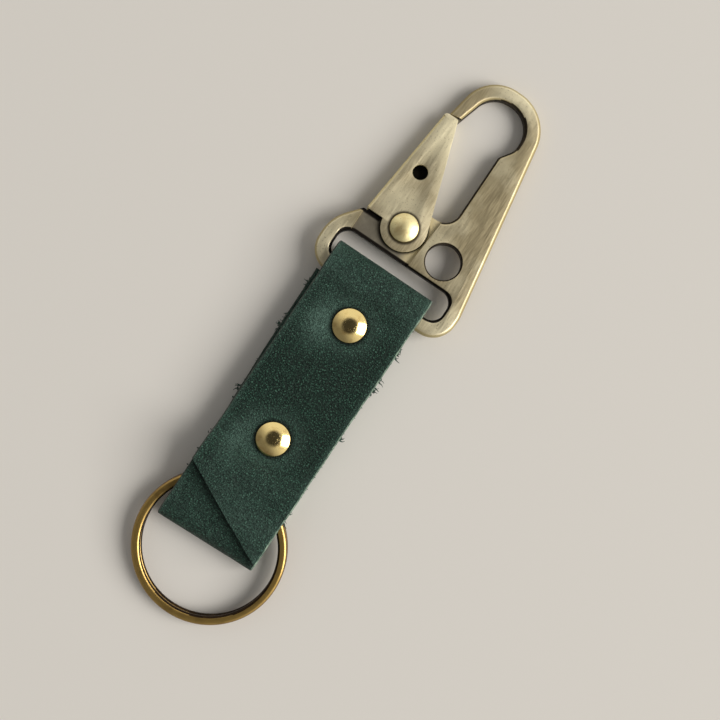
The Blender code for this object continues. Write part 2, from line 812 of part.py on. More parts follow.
def build():
    """Make the whole fob."""
    clear_scene()
    leather = finish("green_leather", (0.05, 0.105, 0.08), 0.75, 0)
    hook_metal = finish("antique_brass_plate", (0.43, 0.36, 0.22), 0.42, 1)
    gate_metal = finish("antique_brass_sheet", (0.50, 0.43, 0.26), 0.38, 1)
    brass = finish("polished_brass", (0.78, 0.60, 0.30), 0.15, 1)
    satin_brass = finish("satin_brass", (0.68, 0.56, 0.30), 0.32, 1)
    ring_metal = finish("dark_brass", (0.30, 0.21, 0.08), 0.25, 1)
    steel = finish("spring_steel", (0.45, 0.45, 0.45), 0.35, 1)
    build_strap(leather)
    build_strap_rivet("upper", upper_rivet_y, brass)
    build_strap_rivet("lower", lower_rivet_y, brass)
    build_key_ring(ring_metal)
    frame = bpy.data.objects.new("hook_frame", None)
    bpy.context.scene.collection.objects.link(frame)
    frame.location = (hook_sideways, bar_y, inner_z)
    frame.rotation_euler = (-hook_droop, 0, 0)
    build_hook_body(hook_metal, frame)
    build_gate(gate_metal, frame)
    build_pivot_rivet(satin_brass, frame)
    build_spring(steel, frame)


build()
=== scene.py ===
"""Finished looks of a leather key fob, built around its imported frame.

The fob is one leather strip, folded round a snap hook at one end and round a split ring at the other, and
held by two double cap rivets. Sizes are in metres and in the frame's axes: the strap lies along Y with its
face up, the hook at +Y and the ring at -Y.
"""
import json
import logging
import math
from bisect import bisect_right
from collections.abc import Iterable, Sequence
from dataclasses import dataclass
from enum import Enum
from random import Random
from typing import ClassVar

import bmesh
import bpy
from mathutils import Matrix, Vector, noise


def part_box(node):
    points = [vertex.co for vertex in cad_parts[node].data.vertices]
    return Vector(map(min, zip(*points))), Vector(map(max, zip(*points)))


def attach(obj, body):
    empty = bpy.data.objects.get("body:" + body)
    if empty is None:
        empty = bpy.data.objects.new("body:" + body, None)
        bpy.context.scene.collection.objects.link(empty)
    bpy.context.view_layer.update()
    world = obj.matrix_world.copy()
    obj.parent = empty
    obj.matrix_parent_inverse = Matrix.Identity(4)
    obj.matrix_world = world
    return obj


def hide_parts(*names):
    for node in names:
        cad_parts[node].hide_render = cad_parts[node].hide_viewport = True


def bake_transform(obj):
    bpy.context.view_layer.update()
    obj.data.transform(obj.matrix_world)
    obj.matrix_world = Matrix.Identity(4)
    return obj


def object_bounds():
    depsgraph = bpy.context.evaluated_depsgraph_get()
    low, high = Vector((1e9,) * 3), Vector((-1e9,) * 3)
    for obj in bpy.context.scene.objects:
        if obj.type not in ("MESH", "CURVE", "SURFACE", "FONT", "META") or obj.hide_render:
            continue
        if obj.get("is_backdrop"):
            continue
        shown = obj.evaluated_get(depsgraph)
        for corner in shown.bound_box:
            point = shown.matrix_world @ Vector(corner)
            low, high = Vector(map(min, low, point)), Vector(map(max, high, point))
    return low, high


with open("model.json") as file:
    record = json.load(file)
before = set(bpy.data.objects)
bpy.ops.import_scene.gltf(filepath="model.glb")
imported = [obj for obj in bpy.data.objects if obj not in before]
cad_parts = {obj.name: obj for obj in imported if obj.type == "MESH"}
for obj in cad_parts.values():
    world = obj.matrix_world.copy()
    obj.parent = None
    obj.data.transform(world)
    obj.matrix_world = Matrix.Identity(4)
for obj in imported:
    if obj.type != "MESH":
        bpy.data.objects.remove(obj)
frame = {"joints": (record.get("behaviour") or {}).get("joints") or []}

LOG = logging.getLogger("key_fob")
MERGE_DISTANCE = 1e-6
CUT_OVERRUN = 0.003
ARC_STEP = math.radians(4)
SHARP_ANGLE = math.radians(35)
ROOM_SHARE = 0.98
RIM_SEGMENTS = 6
END_SEGMENTS = 3
FLARE_SEGMENTS = 4
SHEET_SEGMENTS = 3
TURNED_SIDES = 96
DOME_STEPS = 14
DOME_EDGE_STEPS = 5
WIRE_SIDES = 16
WIRE_ARC_STEP = math.radians(9)
FIBRE_SIDES = 4
FIBRE_STEPS = 5
GAMMA = 2.2
BEVEL = {"offset_type": "OFFSET", "affect": "EDGES", "profile": 0.5, "material": -1}

Colour = tuple[float, float, float, float]
Corner = tuple[float, float, float]
Place = tuple[float, float, float]
Size = float | Place
Socket = bpy.types.NodeSocket
Value = float | Colour | Place | Socket
Solid = bmesh.types.BMesh
Marked = tuple[Vector, set[int]]


class Body(Enum):
    """The bodies that pieces ride on."""

    STRAP = "strap"
    HOOK = "hook"
    GATE = "gate"
    RING = "ring"


class Slot(Enum):
    """The record's material slots."""

    LEATHER = "green_leather"
    PLATE = "antique_brass_plate"
    SHEET = "antique_brass_sheet"
    POLISHED = "polished_brass"
    SATIN = "satin_brass"
    DARK = "dark_brass"
    STEEL = "spring_steel"


def shown(red: int, green: int, blue: int) -> Colour:
    """Turn a displayed colour, from 0 to 255 a channel, into the linear values that a shader takes."""
    return (*((value / 255) ** GAMMA for value in (red, green, blue)), 1.0)


class Nodes:
    """A node tree, filled by short calls."""

    def __init__(self, tree: bpy.types.NodeTree) -> None:
        """Take the tree."""
        self.tree = tree

    def feed(self, socket: Socket, value: Value) -> None:
        """Join an output to a socket, or set the socket to a number or a colour.

        Args:
            socket: The input that takes the value.
            value: Another node's output, or the value itself.
        """
        if isinstance(value, Socket):
            self.tree.links.new(value, socket)
        else:
            socket.default_value = value

    def node(self, kind: str, inputs: dict[str | int, Value], **settings: object) -> bpy.types.Node:
        """Add a node.

        Args:
            kind: The node's type.
            inputs: Its inputs, by name or number.
            settings: Its own settings.

        Returns:
            The new node.
        """
        made = self.tree.nodes.new(kind)
        for name, value in settings.items():
            setattr(made, name, value)
        for key, value in inputs.items():
            self.feed(made.inputs[key], value)
        return made

    def spread(
        self, value: Value, low: float, high: float, to_low: float = 0.0, to_high: float = 1.0,
    ) -> Socket:
        """Ease a value from one range into another, held at its ends."""
        inputs = {0: value, 1: low, 2: high, 3: to_low, 4: to_high}
        return self.node("ShaderNodeMapRange", inputs, interpolation_type="SMOOTHSTEP").outputs[0]

    def count(self, operation: str, *numbers: Value) -> Socket:
        """Work out a number from others by a Math node's operation."""
        return self.node("ShaderNodeMath", dict(enumerate(numbers)), operation=operation).outputs[0]

    def mix(self, share: Value, first: Value, second: Value) -> Socket:
        """Mix two numbers, where share 1 gives the second."""
        return self.node("ShaderNodeMix", {0: share, 2: first, 3: second}).outputs[0]


class Graph(Nodes):
    """The nodes of one material."""

    def __init__(self, name: str) -> None:
        """Start a material that reads object coordinates.

        Args:
            name: The material's name.
        """
        self.material = bpy.data.materials.new(name)
        self.material.use_nodes = True
        super().__init__(self.material.node_tree)
        self.shader = self.tree.nodes["Principled BSDF"]
        coordinates = self.node("ShaderNodeTexCoord", {}).outputs
        self.place = coordinates["Object"]
        self.normal = coordinates["Normal"]

    def set(self, **values: Value) -> None:
        """Set the shader's inputs, named with underscores for spaces."""
        for name, value in values.items():
            self.feed(self.shader.inputs[name.replace("_", " ")], value)

    def scaled(self, size: Size) -> Socket:
        """Object coordinates counted in steps of a size."""
        scale = tuple(1 / step for step in ((size,) * 3 if isinstance(size, float) else size))
        return self.node("ShaderNodeMapping", {"Vector": self.place, "Scale": scale}).outputs[0]

    def noise(self, size: Size, detail: float = 3.0, distortion: float = 0.0) -> Socket:
        """Blotches of a real size, with finer layers and bends, as a value about 0.5."""
        inputs = {"Vector": self.scaled(size), "Scale": 1.0, "Detail": detail, "Distortion": distortion}
        return self.node("ShaderNodeTexNoise", inputs).outputs[0]

    def cells(self, size: float, bent: float = 0.7) -> Socket:
        """Pebbles of a real size, their edges bent by a finer noise.

        Args:
            size: How far the pebbles lie apart.
            bent: How far their edges are bent, in pebbles.

        Returns:
            The distance to the pebble's edge, in pebbles.
        """
        steps = self.scaled(size)
        waves = self.node("ShaderNodeTexNoise", {"Vector": steps, "Scale": 1.6, "Detail": 2.0}).outputs[1]
        inputs = {0: waves, 1: (bent,) * 3, 2: steps}
        moved = self.node("ShaderNodeVectorMath", inputs, operation="MULTIPLY_ADD").outputs[0]
        inputs = {"Vector": moved, "Scale": 1.0}
        pattern = self.node("ShaderNodeTexVoronoi", inputs, feature="DISTANCE_TO_EDGE")
        return pattern.outputs["Distance"]

    def blend(self, share: Value, first: Value, second: Value, most: float = 1.0) -> Socket:
        """Mix two colours.

        Args:
            share: How much of the second shows, from 0 to 1.
            first: The colour at 0.
            second: The colour at 1.
            most: The most that the second shows.

        Returns:
            The mixed colour.
        """
        if most < 1:
            share = self.count("MULTIPLY", share, most)
        return self.node("ShaderNodeMix", {0: share, 6: first, 7: second}, data_type="RGBA").outputs[2]

    def tilt(self, flat: float, steep: float) -> Socket:
        """How far the surface turns from level: 0 at one height of its normal, 1 at the other."""
        parts = self.node("ShaderNodeSeparateXYZ", {0: self.normal})
        return self.spread(self.count("ABSOLUTE", parts.outputs[2]), flat, steep)

    def near(self, point: Place, inner: float, outer: float) -> Socket:
        """How close the surface is to a point: 1 up to the inner distance, 0 from the outer."""
        away = self.node("ShaderNodeVectorMath", {0: self.place, 1: point}, operation="DISTANCE")
        return self.spread(away.outputs["Value"], inner, outer, 1.0, 0.0)

    def along(self, axis: int, low: float, high: float) -> Socket:
        """How far the surface lies along an axis: 0 at the low place, 1 at the high one."""
        parts = self.node("ShaderNodeSeparateXYZ", {0: self.place})
        return self.spread(parts.outputs[axis], low, high)

    def round_slot(self, slot: "SlotPlace", inner: float, outer: float) -> Socket:
        """How close the surface is to a slot with rounded corners, seen along Z.

        Args:
            slot: Where the slot is.
            inner: The distance from its wall up to which the share is 1.
            outer: The distance at which it has faded to 0.

        Returns:
            A share from 0 to 1.
        """
        flat = self.place
        steps = (
            ("SUBTRACT", (slot.x, slot.y, 0.0)), ("MULTIPLY", (1.0, 1.0, 0.0)), ("ABSOLUTE", (0.0, 0.0, 0.0)),
            ("SUBTRACT", (slot.half_length - slot.radius, slot.half_height - slot.radius, 0.0)),
            ("MAXIMUM", (0.0, 0.0, 0.0)),
        )
        for operation, value in steps:
            flat = self.node("ShaderNodeVectorMath", {0: flat, 1: value}, operation=operation).outputs[0]
        length = self.node("ShaderNodeVectorMath", {0: flat}, operation="LENGTH").outputs["Value"]
        return self.spread(length, slot.radius + inner, slot.radius + outer, 1.0, 0.0)

    def uneven(self, value: Value, middle: float, less: float, more: float) -> Socket:
        """A number that follows a noise, lower than its middle by one amount and higher by another."""
        return self.spread(value, 0.3, 0.7, middle - less, middle + more)

    def attribute(self, name: str) -> Socket:
        """The number that the piece's mesh holds under a name."""
        return self.node("ShaderNodeAttribute", {}, attribute_name=name).outputs["Fac"]

    def bump(self, height: Value, depth: float, under: Socket | None = None) -> Socket:
        """Relief of a real depth.

        Args:
            height: The relief, from 0 to 1.
            depth: How deep it is in metres.
            under: The normal of a coarser relief that it lies on.

        Returns:
            The bent normal.
        """
        inputs = {"Strength": 1.0, "Distance": depth, "Height": height}
        if under is not None:
            inputs["Normal"] = under
        return self.node("ShaderNodeBump", inputs).outputs[0]


@dataclass(frozen=True)
class SlotPlace:
    """Where the hook's slot lies in the fob's plane, for the finishes that paint shade round it."""

    x: float
    y: float
    half_length: float
    half_height: float
    radius: float


@dataclass(frozen=True)
class Finish:
    """A finish, whose material is made once and then handed out."""

    name: str

    def material(self) -> bpy.types.Material:
        """Make the material, or find it again.

        Returns:
            The finish's material.
        """
        if self.name not in bpy.data.materials:
            self.dress(Graph(self.name))
        return bpy.data.materials[self.name]

    def dress(self, graph: Graph) -> None:
        """Fill in the material's nodes."""
        raise NotImplementedError


@dataclass(frozen=True)
class BrushedBrass(Finish):
    """Darkened brass brushed along Y, its edge tone partly rubbing and partly painted light, with painted
    highlights at listed spots and painted shade round the rivet head and the slot.
    """

    base: Colour
    shade: Colour
    bright: Colour
    # Edge tone: partly rubbing, partly painted light, a painted highlight on the sheet and painted shade on
    # the plate.
    edge: Colour
    roughness: float = 0.40
    streak_width: float = 0.00016
    streak_length: float = 0.0075
    cloud_size: float = 0.009
    coarse_share: float = 0.15
    streak_depth: float = 0.000007
    wave_depth: float = 0.0002
    pit_size: float = 0.00034
    # Painted shade with some soiling round the rivet head on the sheet, and painted shade round the slot on
    # the plate.
    shade_and_grime: Colour = shown(46, 40, 32)
    shade_ring_point: Place = (0.0, 0.0, 1.0)
    shade_ring_inner: float = 0.001
    shade_ring_outer: float = 0.002
    slot: SlotPlace | None = None
    slot_shade_band: tuple[float, float] = (0.00036, 0.00062)
    # Painted highlights: across, along and reach of each brightened spot.
    rubbed_and_highlight: tuple[Place, ...] = ()

    def dress(self, graph: Graph) -> None:
        """Fill in streaks, clouds of patina, pits, the edge tone, painted highlights, and painted shade round
        the rivet head and the slot.

        Args:
            graph: The material's nodes.
        """
        wide, long = self.streak_width, self.streak_length
        streak = graph.noise((wide, long, wide), 3.0)
        coarse = graph.noise((wide * 4, long, wide * 4), 2.0)
        cloud = graph.noise(self.cloud_size, 3.0)
        mixed = graph.mix(self.coarse_share, streak, coarse)
        tone = graph.blend(graph.spread(mixed, 0.30, 0.66), self.shade, self.base)
        tone = graph.blend(graph.spread(cloud, 0.42, 0.66, 0.0, 0.4), tone, self.bright)
        # Painted highlights at the listed spots.
        for x, y, reach in self.rubbed_and_highlight:
            tone = graph.blend(graph.near((x, y, 0), reach / 4, reach), tone, self.bright, 0.85)
        # Faces that turn from level take the edge tone: rubbing, with painted highlight on the sheet and
        # painted shade on the plate.
        turn = graph.tilt(0.985, 0.80)
        tone = graph.blend(turn, tone, self.edge, 0.75)
        pits = graph.spread(graph.noise(self.pit_size, 2.0), 0.60, 0.72, 0.0, 0.7)
        tone = graph.blend(pits, tone, self.shade)
        # Painted shade ring round the gate's rivet head, with some soiling.
        ring = graph.near(self.shade_ring_point, self.shade_ring_inner, self.shade_ring_outer)
        tone = graph.blend(ring, tone, self.shade_and_grime, 0.85)
        # Painted shade in a band round the slot.
        if self.slot is not None:
            tone = graph.blend(graph.round_slot(self.slot, *self.slot_shade_band), tone, self.shade_and_grime)
        waves = graph.bump(graph.noise(self.cloud_size, 1.0), self.wave_depth)
        rough = graph.spread(streak, 0.25, 0.75, self.roughness - 0.06, self.roughness + 0.08)
        graph.set(
            Base_Color=tone, Metallic=0.85, Specular_IOR_Level=0.4,
            Roughness=graph.count("ADD", rough, graph.count("MULTIPLY", turn, 0.34)),
            Normal=graph.bump(mixed, self.streak_depth, waves),
        )


@dataclass(frozen=True)
class DarkPatina(Finish):
    """A dark coat: patina left in recesses and on inner walls, which no brush reaches; some copies are
    painted shade on walls and in gaps that lie in shadow.
    """

    base: Colour = shown(116, 110, 97)
    worn_and_lit: Colour = shown(130, 124, 109)
    rubbed_and_highlight: Colour = shown(204, 191, 154)
    rub_start: float = 1.0
    rub_end: float = 2.0
    roughness: float = 0.55
    blotch_size: float = 0.0034
    grit_depth: float = 0.00001
    slot: SlotPlace | None = None
    slot_shade_band: tuple[float, float] = (0.00062, 0.00090)
    # Painted shade round the gate's base, in the notch and round the slot.
    painted_shade: Colour = shown(28, 24, 20)
    shade_point: Place = (0.0, 0.0, 1.0)
    shade_inner: float = 0.0054
    shade_outer: float = 0.0062
    notch: tuple[float, float] = (-1.0, 1.0)
    notch_fade: Place = (0.0008, 0.0002, 0.0003)

    def dress(self, graph: Graph) -> None:
        """Fill in the patina, thinner in blotches, bared by rubbing to the right, and painted shade round the
        gate's base, in the notch below its heel and round the slot.

        Args:
            graph: The material's nodes.
        """
        blotch = graph.noise(self.blotch_size, 4.0)
        grit = graph.noise(self.blotch_size / 7, 2.0)
        tone = graph.blend(graph.spread(blotch, 0.45, 0.72), self.base, self.worn_and_lit)
        tone = graph.blend(graph.along(0, self.rub_start, self.rub_end), tone, self.rubbed_and_highlight)
        # Painted shade: round the gate's base, in the notch below its heel, and round the slot.
        shaded = graph.near(self.shade_point, self.shade_inner, self.shade_outer)
        across, before, after = self.notch_fade
        left = graph.along(0, self.notch[0], self.notch[0] - across)
        above = graph.along(1, self.notch[1] - before, self.notch[1] + after)
        shaded = graph.count("MAXIMUM", shaded, graph.count("MULTIPLY", left, above))
        if self.slot is not None:
            shaded = graph.count("MAXIMUM", shaded, graph.round_slot(self.slot, *self.slot_shade_band))
        tone = graph.blend(shaded, tone, self.painted_shade)
        graph.set(
            Base_Color=tone, Metallic=0.85,
            Roughness=graph.uneven(grit, self.roughness, 0.08, 0.08),
            Normal=graph.bump(grit, self.grit_depth),
        )


@dataclass(frozen=True)
class PolishedBrass(Finish):
    """Stamped brass with a mirror polish, hairline scratches and a tarnish towards its rim."""

    base: Colour = shown(236, 210, 142)
    tarnish: Colour = shown(186, 146, 82)
    roughness: float = 0.13
    scratch_width: float = 0.00012
    scratch_length: float = 0.0022
    scratch_depth: float = 0.000003
    scratch_roughness: float = 0.12
    blotch_size: float = 0.0016
    dent_depth: float = 0.00002

    def dress(self, graph: Graph) -> None:
        """Fill in the polish, its scratches in two directions, and the tarnish.

        Args:
            graph: The material's nodes.
        """
        wide, long = self.scratch_width, self.scratch_length
        along = graph.spread(graph.noise((wide, long, wide), 1.0), 0.66, 0.72)
        across = graph.spread(graph.noise((long, wide, wide), 1.0), 0.68, 0.74)
        scratch = graph.count("MAXIMUM", along, across)
        blotch = graph.spread(graph.noise(self.blotch_size, 4.0), 0.46, 0.74, 0.0, 0.45)
        rim = graph.tilt(0.62, 0.25)
        tone = graph.blend(graph.count("MAXIMUM", blotch, rim), self.base, self.tarnish)
        dents = graph.bump(graph.noise(self.blotch_size, 2.0), self.dent_depth)
        graph.set(
            Base_Color=tone, Metallic=1.0,
            Roughness=graph.count("MULTIPLY_ADD", scratch, self.scratch_roughness, self.roughness),
            Normal=graph.bump(scratch, self.scratch_depth, dents),
        )


@dataclass(frozen=True)
class SatinBrass(Finish):
    """Turned brass with a satin face, faint clouds of tarnish and a few nicks."""

    base: Colour = shown(236, 222, 168)
    cloud: Colour = shown(214, 192, 138)
    rim: Colour = shown(120, 104, 70)
    roughness: float = 0.42
    cloud_size: float = 0.0022
    wave_depth: float = 0.00006
    grit_depth: float = 0.000006

    def dress(self, graph: Graph) -> None:
        """Fill in the satin face, its clouds and its darker rim.

        Args:
            graph: The material's nodes.
        """
        cloud = graph.noise(self.cloud_size, 3.0, 0.6)
        grit = graph.noise(self.cloud_size / 14, 2.0)
        nick = graph.spread(graph.noise(self.cloud_size / 5, 1.0), 0.70, 0.75)
        tone = graph.blend(graph.spread(cloud, 0.42, 0.66, 0.0, 0.8), self.base, self.cloud)
        tone = graph.blend(nick, tone, self.rim, 0.5)
        tone = graph.blend(graph.tilt(0.72, 0.30), tone, self.rim)
        waves = graph.bump(cloud, self.wave_depth)
        graph.set(
            Base_Color=tone, Metallic=1.0,
            Roughness=graph.uneven(grit, self.roughness, 0.05, 0.07),
            Normal=graph.bump(grit, self.grit_depth, waves),
        )


@dataclass(frozen=True)
class DarkBrass(Finish):
    """Bright wire under a dark brown coat, bared by rubbing to olive gold on the flats; its darker sides are
    partly painted shade.
    """

    top: Colour = shown(186, 153, 86)
    side: Colour = shown(106, 78, 37)
    roughness: float = 0.32
    rub_size: float = 0.0045
    grit_depth: float = 0.000002

    def dress(self, graph: Graph) -> None:
        """Fill in the coat, the places bared by rubbing, the darker sides, partly painted shade, and a clear
        gloss.

        Args:
            graph: The material's nodes.
        """
        rub = graph.noise(self.rub_size, 3.0, 0.5)
        grit = graph.noise(self.rub_size / 16, 2.0)
        # Sides that turn from level darken: the coat, and partly painted shade.
        turn = graph.tilt(0.97, 0.35)
        tone = graph.blend(turn, self.top, self.side)
        tone = graph.blend(graph.spread(rub, 0.46, 0.70, 0.0, 0.4), tone, self.side)
        graph.set(
            Base_Color=tone, Metallic=0.9, Coat_Weight=0.3, Coat_Roughness=0.2, Coat_IOR=1.6,
            Roughness=graph.uneven(grit, self.roughness, 0.03, 0.05),
            Normal=graph.bump(grit, self.grit_depth),
        )


@dataclass(frozen=True)
class DrawnSteel(Finish):
    """Bare spring wire."""

    base: Colour = (0.40, 0.39, 0.37, 1.0)
    shade: Colour = (0.24, 0.23, 0.21, 1.0)
    roughness: float = 0.34
    mark_size: float = 0.0002
    mark_depth: float = 0.000004

    def dress(self, graph: Graph) -> None:
        """Fill in the wire's fine draw marks.

        Args:
            graph: The material's nodes.
        """
        marks = graph.noise(self.mark_size, 3.0)
        graph.set(
            Base_Color=graph.blend(marks, self.shade, self.base), Metallic=1.0,
            Roughness=graph.uneven(marks, self.roughness, 0.06, 0.1),
            Normal=graph.bump(marks, self.mark_depth),
        )


@dataclass(frozen=True)
class GrainLeather(Finish):
    """The strip's face: waxed green leather, pale where it was bent, pressed or reached by rubbing, partly
    painted sheen at the folds, and darkened by soiling and painted shade round the caps and by painted shadow
    under the front end.
    """

    deep: Colour = shown(5, 24, 18)
    base: Colour = shown(19, 52, 41)
    worn_and_lit: Colour = shown(92, 121, 109)
    speck: Colour = shown(80, 120, 101)
    # Dark ring round the caps, soiling with painted shade, and painted shadow under the front end.
    shade_and_grime: Colour = shown(10, 18, 15)
    grain_size: float = 0.00050
    pore_size: float = 0.00045
    mottle_size: float = 0.0050
    crease_size: Place = (0.0013, 0.0006, 0.0013)
    grain_depth: float = 0.00036
    roughness: float = 0.52

    def dress(self, graph: Graph) -> None:
        """Fill in the mottled dye, the pale places with painted sheen at the folds, the painted shade, the
        pebbled grain and its pores.

        Args:
            graph: The material's nodes.
        """
        mottle = graph.noise(self.mottle_size, 5.0, 0.3)
        patch = graph.noise(self.mottle_size * 1.8, 3.0, 0.5)
        pebble = graph.spread(graph.cells(self.grain_size), 0.0, 0.30)
        pore = graph.noise(self.pore_size, 2.0)
        tone = graph.blend(graph.spread(mottle, 0.32, 0.68, 0.45, 1.0), self.deep, self.base)
        light = graph.spread(pore, 0.40, 0.66, 0.0, 0.70)
        tone = graph.blend(light, tone, self.speck)
        furrow = graph.spread(pebble, 0.0, 0.9, 0.85, 0.0)
        tone = graph.blend(furrow, tone, self.deep)
        # Paler from rubbing, and from painted sheen towards the folds.
        wear_and_sheen = graph.attribute("wear_and_sheen")
        for uneven in (graph.spread(patch, 0.30, 0.60, 0.55, 1.0), graph.spread(pore, 0.35, 0.60, 0.6, 1.0)):
            wear_and_sheen = graph.count("MULTIPLY", wear_and_sheen, uneven)
        tone = graph.blend(wear_and_sheen, tone, self.worn_and_lit)
        # Painted shade with soiling round the caps, and painted shadow under the front end.
        tone = graph.blend(graph.attribute("shade_and_grime"), tone, self.shade_and_grime)
        creases = graph.noise(self.crease_size, 4.0, 1.2)
        relief = graph.bump(creases, self.grain_depth * 0.7)
        relief = graph.bump(pebble, self.grain_depth, relief)
        graph.set(
            Base_Color=tone, Metallic=0.0, Specular_IOR_Level=0.22,
            Roughness=graph.uneven(mottle, self.roughness, 0.06, 0.1),
            Normal=graph.bump(pore, self.grain_depth / 2, relief),
        )


@dataclass(frozen=True)
class RawLeather(Finish):
    """Cut edge or back of the strip, where the fibres lie open."""

    dark: Colour
    light: Colour
    # Painted shade, towards the left side.
    painted_shade: Colour = shown(16, 24, 20)
    fibre_size: Place = (0.0005, 0.0009, 0.00016)
    blotch_size: float = 0.0016
    depth: float = 0.00007
    left_shade: float = 0.0
    left_shade_run: float = 0.010

    def dress(self, graph: Graph) -> None:
        """Fill in the matted fibres, and painted shade towards the left.

        Args:
            graph: The material's nodes.
        """
        fibre = graph.noise(self.fibre_size, 4.0, 0.8)
        blotch = graph.noise(self.blotch_size, 3.0)
        tone = graph.blend(graph.spread(fibre, 0.32, 0.68), self.dark, self.light)
        tone = graph.blend(graph.spread(blotch, 0.48, 0.72, 0.0, 0.6), tone, self.dark)
        # Painted shade on the left edge, which faces away from the lamp.
        tone = graph.blend(graph.along(0, 0.0, -self.left_shade_run), tone, self.painted_shade, self.left_shade)
        graph.set(
            Base_Color=tone, Metallic=0.0, Roughness=0.88, Specular_IOR_Level=0.25,
            Sheen_Weight=0.15, Sheen_Roughness=0.6, Normal=graph.bump(fibre, self.depth),
        )


@dataclass(frozen=True)
class PaleFloor(Finish):
    """A plain, warm white table top."""

    base: Colour = shown(219, 215, 208)

    def dress(self, graph: Graph) -> None:
        """Fill in a matt coat of paint."""
        graph.set(Base_Color=self.base, Metallic=0.0, Roughness=0.7, Specular_IOR_Level=0.1)


class Finishes:
    """The finishes that the fob's pieces share.

    Places are counted from the top of the gate's rivet: the recess is bared by rubbing over rub_run to its
    right, its floor lies recess_depth below, and painted shade in its lower left corner starts at the notch.
    """

    rub_run: tuple[float, float] = (0.0018, 0.0046)
    recess_depth: float = 0.0012
    notch: tuple[float, float] = (-0.0050, -0.0020)
    # Painted highlights on the plate and, below, on the sheet: across, along and reach of each spot.
    plate_highlights: tuple[Place, ...] = (
        (-0.0175, 0.0270, 0.0120), (0.0185, 0.0245, 0.0095), (0.0065, 0.0400, 0.0075),
        (0.0030, 0.0790, 0.0090),
    )
    sheet_highlights: tuple[Place, ...] = ((-0.0065, 0.0665, 0.0130), (-0.0060, 0.0440, 0.0090))

    def __init__(self, pivot_top: Vector, slot: SlotPlace) -> None:
        """Mix the finishes.

        Args:
            pivot_top: Where the gate's rivet comes out of its front face.
            slot: Where the hook's slot lies.
        """
        x, y, z = pivot_top
        # The plate's edge tone is darker, partly painted shade, and the sheet's brighter, partly painted
        # highlight; both take painted highlights at listed spots.
        self.plate = BrushedBrass(
            "brushed_plate", base=shown(184, 170, 135), shade=shown(165, 151, 119),
            bright=shown(248, 237, 200), edge=shown(168, 154, 112), slot=slot, rubbed_and_highlight=self.plate_highlights,
        )
        # The sheet takes a painted shade ring, with some soiling, round the gate's rivet head.
        self.sheet = BrushedBrass(
            "brushed_sheet", base=shown(192, 179, 146), shade=shown(166, 152, 120),
            bright=shown(242, 231, 194), edge=shown(236, 224, 176), roughness=0.42,
            rubbed_and_highlight=self.sheet_highlights, shade_ring_point=(x, y, z), shade_ring_inner=0.0035, shade_ring_outer=0.0041,
        )
        # Recess floor: patina, with painted shade round the gate's base, in the notch and round the slot.
        self.floor_patina_and_shade = DarkPatina(
            "recess_patina_and_shade", rub_start=x + self.rub_run[0], rub_end=x + self.rub_run[1], slot=slot,
            shade_point=(x, y, z - self.recess_depth), notch=(x + self.notch[0], y + self.notch[1]),
        )
        # Patina on the walls, and painted shade on the eye's walls that face away from the lamp.
        self.wall_patina_and_shade = DarkPatina("wall_patina_and_shade", base=shown(50, 44, 36), worn_and_lit=shown(82, 72, 58))
        # Very dark painted shade on the slot's walls and inside the gate's channel.
        self.dark_shade = DarkPatina("dark_painted_shade", base=shown(24, 21, 17), worn_and_lit=shown(36, 31, 25))
        self.polished = PolishedBrass("polished_cap")
        self.satin = SatinBrass("satin_head")
        self.dark = DarkBrass("rubbed_dark_brass")
        # Painted shade on the ring's inner walls.
        self.shaded_wall = DarkPatina(
            "ring_inside_shade", base=shown(46, 34, 22), worn_and_lit=shown(72, 54, 30), roughness=0.4,
        )
        self.steel = DrawnSteel("drawn_steel")
        self.grain = GrainLeather("grain_leather")
        # Cut edge darker towards the left, as painted shade.
        self.cut_edge = RawLeather(
            "cut_edge", dark=shown(64, 86, 74), light=shown(142, 162, 142), left_shade=0.8,
        )
        self.flesh = RawLeather("flesh_side", dark=shown(30, 44, 37), light=shown(58, 77, 66))
        self.fibre = RawLeather("loose_fibre", dark=shown(30, 50, 42), light=shown(60, 86, 74))
        self.floor = PaleFloor("pale_floor")


